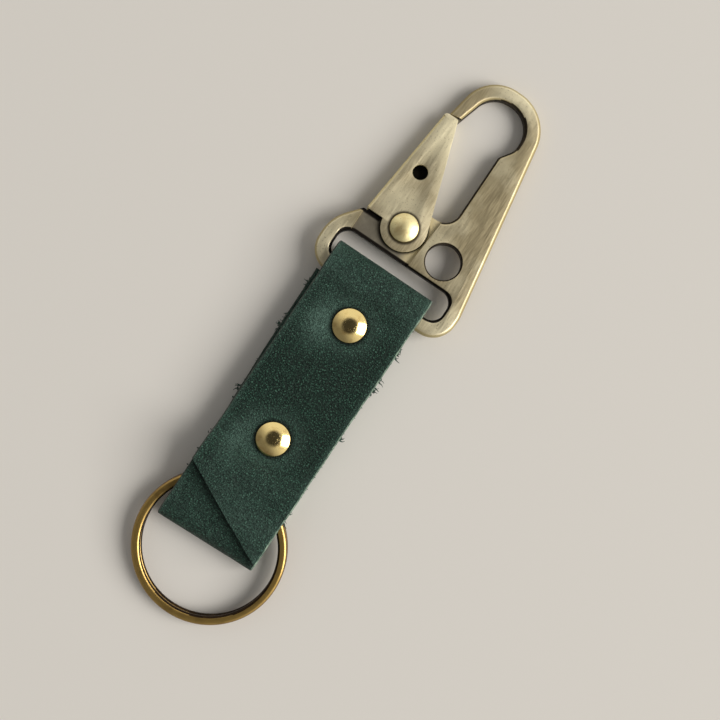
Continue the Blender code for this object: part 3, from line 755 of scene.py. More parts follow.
@dataclass(frozen=True)
class Outline:
    """A line of straight sides with rounded corners, each given as across, along and radius."""

    corners: tuple[Corner, ...]
    closed: bool = True

    @classmethod
    def rectangle(cls, half: float, low: float, high: float, radius: float) -> "Outline":
        """A rectangle with rounded corners that reaches half its width to each side."""
        return cls(((-half, low, radius), (half, low, radius), (half, high, radius), (-half, high, radius)))

    def points(self, step: float = ARC_STEP) -> list[Marked]:
        """Round the corners as far as their sides have room.

        Args:
            step: The largest turn from one point of an arc to the next.

        Returns:
            The points, each with the numbers of the sides that the edge after it belongs to. A side
            has the number of the corner that it starts from.
        """
        count = len(self.corners)
        places = [Vector(corner[:2]) for corner in self.corners]
        tangents = [self.tangent(places, index) for index in range(count)]
        made = []
        for index, here in enumerate(places):
            if tangents[index] == 0:
                made.append((here, {index}))
                continue
            before = places[index - 1] - here
            after = places[(index + 1) % count] - here
            opening = before.angle(after)
            room = min(
                1,
                ROOM_SHARE * before.length / (tangents[index] + tangents[index - 1]),
                ROOM_SHARE * after.length / (tangents[index] + tangents[(index + 1) % count]),
            )
            tangent = tangents[index] * room
            radius = tangent * math.tan(opening / 2)
            before.normalize()
            after.normalize()
            centre = here + (before + after).normalized() * (radius / math.sin(opening / 2))
            turn = -math.copysign(math.pi - opening, before.cross(after))
            steps = max(1, math.ceil(abs(turn) / step))
            for number in range(steps + 1):
                spoke = Matrix.Rotation(turn * number / steps, 2) @ (here + before * tangent - centre)
                sides = {index} if number == steps else {(index - 1) % count, index}
                made.append((centre + spoke, sides))
        return made

    def tangent(self, places: Sequence[Vector], index: int) -> float:
        """Length that a corner's arc takes from each of its sides.

        Args:
            places: The corners' places.
            index: The corner's number.

        Returns:
            The length, and 0 for a sharp corner or a free end.
        """
        radius = self.corners[index][2]
        if radius == 0 or (not self.closed and index in (0, len(places) - 1)):
            return 0
        before = places[index - 1] - places[index]
        after = places[(index + 1) % len(places)] - places[index]
        return radius / math.tan(before.angle(after) / 2)

    def shifted(self, distance: float) -> "Outline":
        """Move the line to its left.

        Args:
            distance: How far; the corners' radii change to suit.

        Returns:
            The moved line.
        """
        moved = []
        count = len(self.corners)
        for index, (x, y, radius) in enumerate(self.corners):
            here = Vector((x, y))
            sides = []
            if self.closed or index > 0:
                sides.append((here - Vector(self.corners[index - 1][:2])).normalized())
            if self.closed or index < count - 1:
                sides.append((Vector(self.corners[(index + 1) % count][:2]) - here).normalized())
            left = [Vector((-side.y, side.x)) for side in sides]
            mitre = (left[0] + left[-1]).normalized()
            place = here + mitre * (distance / mitre.dot(left[0]))
            bend = sides[0].cross(sides[-1])
            change = -math.copysign(distance, bend) if abs(bend) > 0 else 0
            moved.append((place.x, place.y, radius + change if radius > 0 else 0))
        return Outline(tuple(moved), self.closed)


def moved(outline: Sequence[Marked], by: Vector) -> list[Marked]:
    """Shift an outline's points."""
    return [(point + by, sides) for point, sides in outline]


def arc(centre: Vector, radius: float, start: float, end: float) -> list[Vector]:
    """Points along an arc.

    Args:
        centre: The arc's centre.
        radius: Its radius.
        start: The angle of its first point.
        end: The angle of its last point.

    Returns:
        The points, both ends among them.
    """
    steps = max(1, math.ceil(abs(end - start) / ARC_STEP))
    angles = [start + (end - start) * step / steps for step in range(steps + 1)]
    return [centre + Vector((math.cos(angle), math.sin(angle))) * radius for angle in angles]


def plate(
    outline: Sequence[Marked], low: float, high: float, rim: float = 0.0, square: Iterable[int] = (),
) -> Solid:
    """Extrude an outline into a plate and round its rims.

    Args:
        outline: The points and the sides that their edges belong to.
        low: The height of the lower face.
        high: The height of the upper face.
        rim: The radius of the rims.
        square: The sides whose rims stay square.

    Returns:
        The closed plate.
    """
    bm = bmesh.new()
    lower = [bm.verts.new((point.x, point.y, low)) for point, _ in outline]
    grown = bmesh.ops.extrude_face_region(bm, geom=[bm.faces.new(lower)])
    upper = {item for item in grown["geom"] if isinstance(item, bmesh.types.BMVert)}
    bmesh.ops.translate(bm, verts=list(upper), vec=(0, 0, high - low))
    above = {
        vert: edge.other_vert(vert) for vert in lower for edge in vert.link_edges
        if edge.other_vert(vert) in upper
    }
    if rim > 0:
        keep = set(square)
        rims = []
        for index, (_, sides) in enumerate(outline):
            if not sides & keep:
                first, second = lower[index], lower[(index + 1) % len(lower)]
                rims.append(bm.edges.get((first, second)))
                rims.append(bm.edges.get((above[first], above[second])))
        bmesh.ops.bevel(bm, geom=rims, offset=rim, segments=RIM_SEGMENTS, clamp_overlap=False, **BEVEL)
    return bm


def lofted(levels: Sequence[Sequence[Vector]]) -> Solid:
    """Bridge a stack of loops into a closed solid.

    Args:
        levels: Loops of equal count, from the lowest up.

    Returns:
        The solid.
    """
    bm = bmesh.new()
    loops = []
    for level in levels:
        verts = [bm.verts.new(point) for point in level]
        loops.append([bm.edges.new(pair) for pair in zip(verts, verts[1:] + verts[:1])])
        if level is levels[0] or level is levels[-1]:
            bm.faces.new(verts)
    for lower, upper in zip(loops, loops[1:]):
        bmesh.ops.bridge_loops(bm, edges=lower + upper)
    return bm


def flare(outline: Outline, face: float, end: float, edge: float) -> Solid:
    """A cutter that rounds the rim of an opening.

    Args:
        outline: The opening, run counterclockwise.
        face: The height of the face that the opening comes out of.
        end: The height that the cutter reaches past it.
        edge: The radius of the rim.

    Returns:
        The cutter.
    """
    depth = math.copysign(edge, face)
    levels = []
    for step in range(FLARE_SEGMENTS + 1):
        angle = math.pi / 2 * step / FLARE_SEGMENTS
        height = face - depth * (1 - math.sin(angle))
        points = outline.shifted(-edge * (1 - math.cos(angle))).points()
        levels.append([Vector((point.x, point.y, height)) for point, _ in points])
    levels.append([Vector((point.x, point.y, end)) for point in levels[-1]])
    return lofted(levels)


def turned(profile: Sequence[tuple[float, float]], centre: Vector) -> Solid:
    """Turn a profile about an upright axis.

    Args:
        profile: Radius and height of each point, from the axis back to the axis.
        centre: Where the axis stands, across and along.

    Returns:
        The closed solid.
    """
    bm = bmesh.new()
    verts = [bm.verts.new((radius, 0, height)) for radius, height in profile]
    edges = [bm.edges.new(pair) for pair in zip(verts, verts[1:])]
    bmesh.ops.spin(
        bm, geom=verts + edges, cent=(0, 0, 0), axis=(0, 0, 1), angle=2 * math.pi, steps=TURNED_SIDES,
        use_merge=True,
    )
    bmesh.ops.remove_doubles(bm, verts=bm.verts, dist=MERGE_DISTANCE)
    bmesh.ops.recalc_face_normals(bm, faces=bm.faces)
    bmesh.ops.translate(bm, verts=bm.verts, vec=(centre.x, centre.y, 0))
    return bm


def drilled(centre: Vector, radius: float, low: float, high: float) -> Solid:
    """A round cutter that stands on a place and reaches from one height to another."""
    return turned([(0, low), (radius, low), (radius, high), (0, high)], centre)


def dome(radius: float, height: float, base: float, edge: float) -> list[tuple[float, float]]:
    """Profile of a domed head whose rim is rounded.

    Args:
        radius: The head's radius.
        height: How far the dome rises above its rim.
        base: The height of the rim.
        edge: The radius that the rim is rounded to.

    Returns:
        Radius and height of each point, from the top out to the rim.
    """
    ball = (radius * radius + height * height) / (2 * height)
    spread = math.asin((radius - edge) / ball)
    angles = [spread * step / DOME_STEPS for step in range(DOME_STEPS + 1)]
    made = [(ball * math.sin(angle), base + height - ball * (1 - math.cos(angle))) for angle in angles]
    centre = Vector(made[-1]) - Vector((math.sin(spread), math.cos(spread))) * edge
    for step in range(1, DOME_EDGE_STEPS + 1):
        angle = spread + (math.pi / 2 - spread) * step / DOME_EDGE_STEPS
        made.append((centre.x + edge * math.sin(angle), centre.y + edge * math.cos(angle)))
    return made


def plain_mesh(bm: Solid) -> bpy.types.Mesh:
    """Turn a bmesh into a mesh with its faces outwards.

    Args:
        bm: The solid, which is used up.

    Returns:
        The mesh.
    """
    bmesh.ops.recalc_face_normals(bm, faces=bm.faces)
    mesh = bpy.data.meshes.new("piece")
    bm.to_mesh(mesh)
    bm.free()
    return mesh


def linked(name: str, data: bpy.types.ID) -> bpy.types.Object:
    """Put an object into the scene.

    Args:
        name: The object's name.
        data: Its mesh, camera or lamp.

    Returns:
        The object.
    """
    item = bpy.data.objects.new(name, data)
    bpy.context.scene.collection.objects.link(item)
    return item


class Blank:
    """A solid that is cut by others and then taken as one mesh."""

    def __init__(self, bm: Solid) -> None:
        """Take the solid to start from, which is used up."""
        self.item = linked("blank", plain_mesh(bm))
        self.cutters: list[bpy.types.Object] = []

    def cut(self, bm: Solid) -> None:
        """Cut a solid out of the blank.

        Args:
            bm: The cutter, which is used up.
        """
        cutter = linked("cutter", plain_mesh(bm))
        modifier = self.item.modifiers.new("cut", "BOOLEAN")
        modifier.operation = "DIFFERENCE"
        modifier.solver = "EXACT"
        modifier.object = cutter
        self.cutters.append(cutter)

    def soften(self, width: float, segments: int) -> None:
        """Round every sharp edge that is left.

        Args:
            width: How wide the rounding is.
            segments: How finely it is rounded.
        """
        modifier = self.item.modifiers.new("soften", "BEVEL")
        modifier.width = width
        modifier.segments = segments
        modifier.limit_method = "ANGLE"
        modifier.angle_limit = SHARP_ANGLE
        modifier.use_clamp_overlap = True

    def mesh(self) -> bpy.types.Mesh:
        """Bake the cuts.

        Returns:
            The finished mesh.
        """
        bpy.context.view_layer.update()
        depsgraph = bpy.context.evaluated_depsgraph_get()
        made = bpy.data.meshes.new_from_object(self.item.evaluated_get(depsgraph))
        for item in [self.item, *self.cutters]:
            bpy.data.objects.remove(item, do_unlink=True)
        return made


@dataclass(frozen=True)
class Bend:
    """The two bodies that a piece lies between across a hinge, and the places of its ends; the piece stays
    where it is.
    """

    fixed: Body
    moving: Body
    start: Vector
    end: Vector


def place(
    name: str, mesh: bpy.types.Mesh, finishes: Sequence[Finish], body: Body | Bend, slot: Slot,
    replaced: Sequence[str] = (), kinds: Sequence[int] = (),
) -> None:
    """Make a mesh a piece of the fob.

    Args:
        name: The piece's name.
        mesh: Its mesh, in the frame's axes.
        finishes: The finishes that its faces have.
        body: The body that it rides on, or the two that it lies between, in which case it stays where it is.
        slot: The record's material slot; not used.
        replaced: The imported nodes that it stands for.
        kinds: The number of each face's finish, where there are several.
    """
    mesh.name = name
    mesh.materials.clear()
    for finish in finishes:
        mesh.materials.append(finish.material())
    if kinds:
        mesh.polygons.foreach_set("material_index", kinds)
    mesh.shade_smooth()
    mesh.set_sharp_from_angle(angle=SHARP_ANGLE)
    piece = linked(name, mesh)
    if isinstance(body, Bend):
        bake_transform(piece)
        carrier = f"{body.fixed.value} and {body.moving.value}"
    else:
        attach(piece, body.value)
        carrier = body.value
    if replaced:
        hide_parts(*replaced)
    LOG.info("%s: %d faces on %s", name, len(mesh.polygons), carrier)


def tube(line: Sequence[Vector], radii: Sequence[float], sides: int, bm: Solid) -> None:
    """Extrude a circle along a line.

    Args:
        line: The points that it follows.
        radii: Its radius at each point.
        sides: How many sides it has.
        bm: The bmesh that it is added to.
    """
    heading = (line[1] - line[0]).normalized()
    turn = Vector((0, 0, 1)).rotation_difference(heading).to_matrix()
    matrix = Matrix.Translation(line[0]) @ turn.to_4x4()
    made = bmesh.ops.create_circle(bm, cap_ends=True, segments=sides, radius=radii[0], matrix=matrix)
    first = made["verts"][0]
    edges = list(first.link_faces[0].edges)
    for index in range(1, len(line)):
        grown = bmesh.ops.extrude_edge_only(bm, edges=edges)["geom"]
        verts = [item for item in grown if isinstance(item, bmesh.types.BMVert)]
        edges = [item for item in grown if isinstance(item, bmesh.types.BMEdge)]
        edges = [edge for edge in edges if all(vert in verts for vert in edge.verts)]
        ahead = line[min(index + 1, len(line) - 1)] - line[index - 1]
        swing = heading.rotation_difference(ahead.normalized()).to_matrix()
        size = Matrix.Scale(radii[index] / radii[index - 1], 3)
        to_origin, to_place = Matrix.Translation(-line[index - 1]), Matrix.Translation(line[index])
        bmesh.ops.transform(bm, matrix=to_place @ (swing @ size).to_4x4() @ to_origin, verts=verts)
        heading = ahead.normalized()
    bmesh.ops.contextual_create(bm, geom=edges)


def joint(name: str) -> dict:
    """The frame's joint of a name."""
    return next(item for item in frame["joints"] if item["name"] == name)


@dataclass(frozen=True)
class SnapHookSizes:
    """Sizes of the snap hook in its own frame: +Y from the bar to the round end, +Z to the front.

    A share gives a corner of the plate: across and its rounding as parts of the width, along as a part of
    the reach. The rows from level on say which faces take which finish: painted shade on the eye's walls,
    more of them where they face away from the lamp, and very dark painted shade inside the gate's channel.
    """

    reach: float = 0.0563
    thickness: float = 0.0033
    edge_radius: float = 0.0009
    bar_height: float = 0.0035
    bar_end_radius: float = 0.0058
    slot_length: float = 0.0298
    slot_end_wall: float = 0.0034
    slot_height: float = 0.0073
    slot_corner_radius: float = 0.0030
    slot_edge_radius: float = 0.0006
    hole_radius: float = 0.0041
    hole_side_wall: float = 0.0018
    hole_slot_wall: float = 0.00135
    hole_edge: float = 0.0003
    web_thickness: float = 0.0014
    small_corner: float = 0.0003
    web_above_pivot: float = 0.0057
    nose_length: float = 0.0132
    base_radius: float = 0.00535
    tip_x: float = -0.0035
    tip_width: float = 0.0033
    tip_corner: float = 0.0010
    heel_reach: float = 0.00965
    heel_drop: float = 0.0008
    heel_corner: float = 0.0004
    sheet: float = 0.0010
    sheet_edge: float = 0.00022
    running_gap: float = 0.0002
    fold_radius: float = 0.0009
    sight_radius: float = 0.0018
    sight_x: float = -0.0040
    sight_y: float = 0.0125
    opening: float = math.radians(24)
    tongue_overlap: float = 0.0025
    tongue_inset: float = 0.0003
    spine_end_gap: float = 0.0003
    nose_gap: float = 0.0002
    nose_set_in: float = 0.0004
    stop_gap: float = 0.0001
    stop_height: float = 0.0016
    nose_pocket_span_share: float = 4
    shoulder_gap: float = 0.0014
    web_shoulder_gap: float = 0.0003
    pocket_clearance: float = 0.00035
    pocket_side_gap: float = 0.0002
    shank_radius: float = 0.0015
    shank_clearance: float = 0.0002
    head_radius: float = 0.0034
    head_height: float = 0.0011
    head_rim: float = 0.0003
    head_edge: float = 0.00022
    tail_radius: float = 0.0026
    tail_height: float = 0.0005
    tail_edge: float = 0.00012
    seat_gap: float = 0.0001
    wire_radius: float = 0.00035
    wire_bend_radius: float = 0.0011
    wire_gap: float = 0.0003
    wire_leg_drop: float = 0.0055
    right_side_shares: tuple[Corner, ...] = ((0.508, 0.103, 0.22), (0.277, 1.0, 0.275), (-0.190, 1.0, 0.245))
    eye_shares: tuple[Corner, ...] = (
        (-0.096, 0.938, 0.165), (0.209, 0.938, 0.170), (0.210, 0.792, 0.095), (0.148, 0.734, 0.055),
    )
    eye_low_shares: tuple[float, float] = (0.149, 0.104)
    left_lobe_share: Corner = (-0.503, 0.158, 0.27)
    level: float = 0.9
    slot_level: float = 0.97
    eye_line: tuple[float, float] = (0.001, 0.0085)
    eye_reach: float = 0.0084
    eye_round_run: float = 0.003
    eye_level: tuple[float, float] = (0.6, 0.395)
    eye_turn: tuple[float, float] = (0.35, 0.7)
    # How far out from the spine's inner face, in sheets, the channel's painted shade reaches.
    inner_shade_depth: float = 0.3

    @property
    def gate_half(self) -> float:
        """Half the gate's height over both cheeks."""
        return self.web_thickness / 2 + self.running_gap + self.sheet


class SnapHook:
    """The snap hook: its plate, its sheet gate, the rivet that the gate turns on and the spring."""

    def __init__(self, sizes: SnapHookSizes, finishes: Finishes) -> None:
        """Place the hook's own frame by the frame's joints.

        Args:
            sizes: The hook's sizes.
            finishes: The fob's finishes.
        """
        self.sizes = sizes
        self.finishes = finishes
        self.matrix = self.own_frame()
        pivot = self.matrix.inverted() @ Vector(joint("gate_hinge")["pos_m"])
        self.pivot = Vector((pivot.x, pivot.y))
        self.width = sizes.slot_length + 2 * sizes.slot_end_wall
        self.slot_top = sizes.bar_height / 2 + sizes.slot_height
        self.web_top = self.pivot.y + sizes.web_above_pivot
        self.gate_length = sizes.reach - sizes.nose_length - self.pivot.y
        self.edge_lean = math.atan2(self.gate_length, sizes.tip_x) - math.acos(
            sizes.base_radius / math.hypot(self.gate_length, sizes.tip_x)
        )
        self.hole = Vector((
            self.pivot.x + sizes.base_radius + sizes.pocket_clearance + sizes.hole_side_wall
            + sizes.hole_radius,
            self.slot_top + sizes.hole_slot_wall + sizes.hole_radius,
        ))

    @staticmethod
    def own_frame() -> Matrix:
        """The hook's own frame: its origin is on the bar's axis, and it droops from the strap's plane.

        Returns:
            The matrix from the hook's frame to the fob's.
        """
        axis = Vector(joint("gate_hinge")["axis"])
        droop = math.atan2(-axis.y, -axis.z)
        return Matrix.Translation(joint("hook_swing")["pos_m"]) @ Matrix.Rotation(-droop, 4, "X")

    def corner(self, share: Corner) -> Corner:
        """A corner of the plate's outline from its shares of the width and the reach."""
        return (share[0] * self.width, share[1] * self.sizes.reach, share[2] * self.width)

    def spine_inside(self, height: float) -> float:
        """How far across from the pivot the spine's inner face lies.

        Args:
            height: The height above the pivot.

        Returns:
            The distance, negative to the left.
        """
        s = self.sizes
        heel = Vector((-s.heel_reach, -s.heel_drop))
        along = (Vector((s.tip_x - s.tip_width, self.gate_length)) - heel).normalized()
        return heel.x + (height - heel.y) * along.x / along.y + s.sheet / along.y

    def slot_outline(self) -> Outline:
        """The slot that the leather goes through."""
        s = self.sizes
        return Outline.rectangle(s.slot_length / 2, s.bar_height / 2, self.slot_top, s.slot_corner_radius)

    def plate_outline(self) -> tuple[list[Marked], set[int]]:
        """Outline of the plate, once round from the bar's left end, the tongue and the web included.

        Returns:
            The points, and the sides whose rims stay square because the gate covers them.
        """
        s, pivot = self.sizes, self.pivot
        half = self.width / 2
        tongue_low = pivot.y + self.gate_length - s.tongue_overlap
        tongue_left = pivot.x + s.tip_x - s.tip_width + s.nose_set_in
        tongue_right = pivot.x + s.tip_x - s.tongue_inset
        tongue_radius = (tongue_right - tongue_left) / 2
        shoulder = pivot.y - s.heel_drop - s.web_shoulder_gap
        stop_low = pivot.y - s.heel_drop + s.running_gap
        stop_high = stop_low + s.stop_height
        heel = pivot.x - s.base_radius
        pocket_left = pivot.x - s.heel_reach - s.pocket_side_gap
        outside = [(-half, -s.bar_height / 2, s.bar_end_radius), (half, -s.bar_height / 2, s.bar_end_radius)]
        outside += [self.corner(share) for share in s.right_side_shares]
        tongue = [(tongue_left, tongue_low, tongue_radius)]
        eye = [(tongue_right, tongue_low, tongue_radius)] + [self.corner(share) for share in s.eye_shares]
        eye.append((s.eye_low_shares[0] * self.width, self.web_top, s.eye_low_shares[1] * self.width))
        covered = [
            (pivot.x - s.sheet, self.web_top, s.sheet),
            (pivot.x + self.spine_inside(stop_high - pivot.y) + s.stop_gap, stop_high, s.small_corner),
            (pivot.x + self.spine_inside(stop_low - pivot.y) + s.stop_gap, stop_low, s.small_corner),
            (heel, stop_low, s.small_corner),
            (heel, shoulder, s.small_corner),
        ]
        lobe = [(pocket_left - s.small_corner, shoulder, s.small_corner), self.corner(s.left_lobe_share)]
        corners: list[Corner] = []
        square: set[int] = set()
        for run in (outside, tongue, eye, covered, lobe):
            if run in (tongue, covered):
                square.update(range(len(corners), len(corners) + len(run)))
            corners += run
        return Outline(tuple(corners)).points(), square

    def gate_pocket(self) -> Outline:
        """The pocket that the gate's cheeks turn in, open to the slot, the eye and the outside.

        Returns:
            The pocket.
        """
        s, pivot = self.sizes, self.pivot
        lean = s.opening - self.edge_lean
        wall = s.base_radius + s.pocket_clearance
        over = self.web_top + CUT_OVERRUN
        side = pivot.x + wall / math.cos(lean)
        low = pivot.x + wall * math.cos(self.edge_lean)
        mid_slot = s.bar_height / 2 + s.slot_height / 2
        shoulder = pivot.y - s.heel_drop - s.shoulder_gap + s.small_corner
        left = pivot.x - s.heel_reach - s.pocket_side_gap
        return Outline((
            (left, mid_slot, 0), (low, mid_slot, 0), (low, self.slot_top, 0),
            (side, pivot.y - s.base_radius / 2, s.base_radius / 2),
            (side + (over - pivot.y) * math.tan(lean), over, 0),
            (-self.width, over, 0), (-self.width, shoulder, 0), (left, shoulder, 0),
        ))

    def nose_pocket(self) -> list[Marked]:
        """The pocket in the nose that the gate's tip closes into, its end an arc about the pivot.

        Returns:
            The pocket's points.
        """
        s = self.sizes
        corner = Vector((s.tip_x - s.tip_width + s.tip_corner, self.gate_length - s.tip_corner))
        reach = corner.length + s.tip_corner + s.nose_gap
        upright = math.pi / 2
        side = upright + s.nose_pocket_span_share * math.asin(s.tip_width / self.gate_length)
        outer = arc(self.pivot, reach, upright, side)
        inner = arc(self.pivot, self.gate_length - s.tongue_overlap * 2, side, upright)
        return [(point, {0}) for point in outer + inner]

    def build_plate(self) -> None:
        """Cut the plate from its outline, with the web, the tongue, the slot and the holes."""
        s = self.sizes
        half = s.thickness / 2
        deep = half + CUT_OVERRUN
        web = s.web_thickness / 2
        outline, square = self.plate_outline()
        blank = Blank(plate(outline, -half, half, s.edge_radius, square))
        slot = self.slot_outline()
        for pocket in (self.gate_pocket().points(), self.nose_pocket()):
            blank.cut(plate(pocket, web, deep))
            blank.cut(plate(pocket, -deep, -web))
        blank.cut(plate(slot.points(), -deep, deep))
        blank.cut(drilled(self.hole, s.hole_radius, -deep, deep))
        for side in (1, -1):
            blank.cut(flare(slot, side * half, side * deep, s.slot_edge_radius))
            wide = s.hole_radius + s.hole_edge
            rim = [(0, half - s.hole_edge), (s.hole_radius, half - s.hole_edge), (wide, half), (wide, deep)]
            rim.append((0, deep))
            blank.cut(turned([(radius, side * height) for radius, height in rim], self.hole))
        blank.cut(drilled(self.pivot, s.shank_radius + s.shank_clearance, -deep, deep))
        mesh = blank.mesh()
        kinds = [self.plate_face(polygon.center, polygon.normal) for polygon in mesh.polygons]
        mesh.transform(self.matrix)
        looks = self.finishes
        finishes = (looks.plate, looks.floor_patina_and_shade, looks.dark_shade, looks.wall_patina_and_shade)
        place("hook_plate", mesh, finishes, Body.HOOK, Slot.PLATE, ["hook_body"], kinds)

    def plate_face(self, centre: Vector, normal: Vector) -> int:
        """Choose the finish of a face of the plate.

        Args:
            centre: The face's middle, in the hook's frame.
            normal: Its normal.

        Returns:
            0 for brushed faces, 1 for the recesses' floors, patina with painted shade, 2 for the slot's
            walls, very dark painted shade, and 3 for other walls, patina with painted shade on the eye's
            walls that face away from the lamp.
        """
        s, flat = self.sizes, Vector(centre[:2])
        height = abs(normal.z)
        if height > s.level and abs(centre.z) < s.web_thickness / 2 + s.small_corner / 2:
            return 1
        edge = s.slot_edge_radius
        along = s.bar_height / 2 - edge < flat.y < self.slot_top + edge
        if along and abs(flat.x) < s.slot_length / 2 + edge and height < s.slot_level:
            return 2
        if height < s.level and (flat - self.hole).length < s.hole_radius + s.hole_edge:
            return 3
        eye_low = Vector((s.eye_low_shares[0] * self.width / 2, self.web_top))
        eye_high = Vector((s.eye_line[0], s.reach - s.eye_line[1]))
        run = eye_high - eye_low
        share = min(1.0, max(0.0, (flat - eye_low).dot(run) / run.length_squared))
        offset = flat - eye_low - run * share
        inside = offset.length < s.eye_reach and offset.dot(Vector(normal[:2])) < 0
        # Eye walls that face away from the lamp, towards -X, take painted shade further up their rounding.
        turn = min(1.0, max(0.0, (s.eye_turn[0] - normal.x) / s.eye_turn[1]))
        limit = s.eye_level[0] + s.eye_level[1] * turn
        if centre.y < eye_high.y - s.eye_round_run:
            limit = min(limit, s.level)
        return 3 if inside and height < limit else 0

    def build_gate(self) -> None:
        """Fold the gate: a channel of sheet, open towards the eye, with a sight hole in front."""
        s, pivot = self.sizes, self.pivot
        heel_angle = -math.pi + math.asin(s.heel_drop / s.base_radius)
        base = arc(Vector((0, 0)), s.base_radius, heel_angle, self.edge_lean)
        corners = (
            (base[-1].x, base[-1].y, 0),
            (s.tip_x, self.gate_length, s.tip_corner / 2),
            (s.tip_x - s.tip_width, self.gate_length, s.tip_corner),
            (-s.heel_reach, -s.heel_drop, s.heel_corner),
            (base[0].x, base[0].y, 0),
        )
        sides = Outline(corners, closed=False).points()
        outline = moved([(point, {len(corners)}) for point in base[:-1]] + sides[:-1], pivot)
        square = set(range(len(corners) + 1)) - {2}
        blank = Blank(plate(outline, -s.gate_half, s.gate_half, s.fold_radius, square))
        inside = s.web_thickness / 2 + s.running_gap
        low = -s.base_radius - CUT_OVERRUN
        high = self.gate_length + CUT_OVERRUN
        wide = s.base_radius + CUT_OVERRUN
        spine_end = self.gate_length - s.tongue_overlap - s.sheet - s.spine_end_gap
        channel = Outline((
            (self.spine_inside(low), low, 0), (wide, low, 0), (wide, high, 0),
            (self.spine_inside(high), high, 0),
        ))
        tip_slot = Outline((
            (-wide - CUT_OVERRUN, spine_end, 0), (wide, spine_end, 0), (wide, high, 0),
            (-wide - CUT_OVERRUN, high, 0),
        ))
        for shape in (channel, tip_slot):
            blank.cut(plate(moved(shape.points(), pivot), -inside, inside))
        deep = s.gate_half + CUT_OVERRUN
        blank.cut(drilled(pivot, s.shank_radius + s.shank_clearance, -deep, deep))
        blank.cut(drilled(pivot + Vector((s.sight_x, s.sight_y)), s.sight_radius, 0, deep))
        blank.soften(s.sheet_edge, SHEET_SEGMENTS)
        mesh = blank.mesh()
        # Faces inside the gate's channel take very dark painted shade.
        kinds = []
        for polygon in mesh.polygons:
            centre = polygon.center - pivot.to_3d()
            within = centre.x > self.spine_inside(centre.y) - s.sheet * s.inner_shade_depth
            kinds.append(int(abs(centre.z) < inside + s.running_gap / 2 and within))
        mesh.transform(self.matrix)
        finishes = (self.finishes.sheet, self.finishes.dark_shade)
        place("gate_sheet", mesh, finishes, Body.GATE, Slot.SHEET, ["gate_lever"], kinds)

    def build_rivet(self) -> None:
        """Turn the rivet: a domed head in front, a shank, and a flat peened tail behind."""
        s = self.sizes
        top = s.gate_half + s.seat_gap
        head = dome(s.head_radius, s.head_height, top + s.head_rim, s.head_edge)
        tail = dome(s.tail_radius, s.tail_height, top, s.tail_edge)
        profile = head + [(s.head_radius, top), (s.shank_radius, top), (s.shank_radius, -top)]
        profile += [(radius, -height) for radius, height in reversed(tail)]
        mesh = plain_mesh(turned(profile, self.pivot))
        mesh.transform(self.matrix)
        place("gate_rivet", mesh, [self.finishes.satin], Body.HOOK, Slot.SATIN, ["gate_pivot_rivet"])

    def build_spring(self) -> None:
        """Bend the hairpin spring: one leg on the web, the other along the gate's spine."""
        s, pivot = self.sizes, self.pivot
        off = s.wire_gap + s.wire_radius
        bend_y = pivot.y + s.sight_y - s.sight_radius - off
        low_y = bend_y - s.wire_leg_drop
        top_x = pivot.x + self.spine_inside(bend_y - pivot.y) + off
        line = Outline((
            (pivot.x, self.web_top + off, 0),
            (top_x + 2 * s.wire_bend_radius, bend_y, s.wire_bend_radius),
            (top_x, bend_y, s.wire_bend_radius),
            (pivot.x + self.spine_inside(low_y - pivot.y) + off, low_y, 0),
        ), closed=False)
        points = [point.to_3d() for point, _ in line.points(WIRE_ARC_STEP)]
        bm = bmesh.new()
        tube(points, [s.wire_radius] * len(points), WIRE_SIDES, bm)
        mesh = plain_mesh(bm)
        mesh.transform(self.matrix)
        foot = self.matrix @ Vector((pivot.x - s.wire_radius, bend_y, 0))
        spine_leg = self.matrix @ Vector((top_x + s.wire_radius, bend_y, 0))
        bend = Bend(Body.HOOK, Body.GATE, foot, spine_leg)
        place("hairpin_spring", mesh, [self.finishes.steel], bend, Slot.STEEL, ["gate_spring"])

    def build(self) -> None:
        """Build the hook's pieces."""
        self.build_plate()
        self.build_gate()
        self.build_rivet()
        self.build_spring()


class Travel:
    """A smooth line in Y and Z that can be asked for any distance along it."""

    def __init__(self, line: Outline) -> None:
        """Measure the line.

        Args:
            line: The line, from its start.
        """
        self.points = [point for point, _ in line.points()]
        self.lengths = [0.0]
        for first, second in zip(self.points, self.points[1:]):
            self.lengths.append(self.lengths[-1] + (second - first).length)
        self.total = self.lengths[-1]

    def at(self, distance: float) -> Vector:
        """The point at a distance from the start.

        Args:
            distance: The distance, held to the line's ends.

        Returns:
            The point.
        """
        held = min(max(distance, 0.0), self.total)
        index = min(max(bisect_right(self.lengths, held) - 1, 0), len(self.points) - 2)
        run = self.lengths[index + 1] - self.lengths[index]
        share = (held - self.lengths[index]) / run if run > 0 else 0.0
        return self.points[index].lerp(self.points[index + 1], share)

    def left(self, distance: float, reach: float) -> Vector:
        """The unit vector to the left at a distance, averaged over a reach to each side."""
        along = (self.at(distance + reach) - self.at(distance - reach)).normalized()
        return Vector((-along.y, along.x))


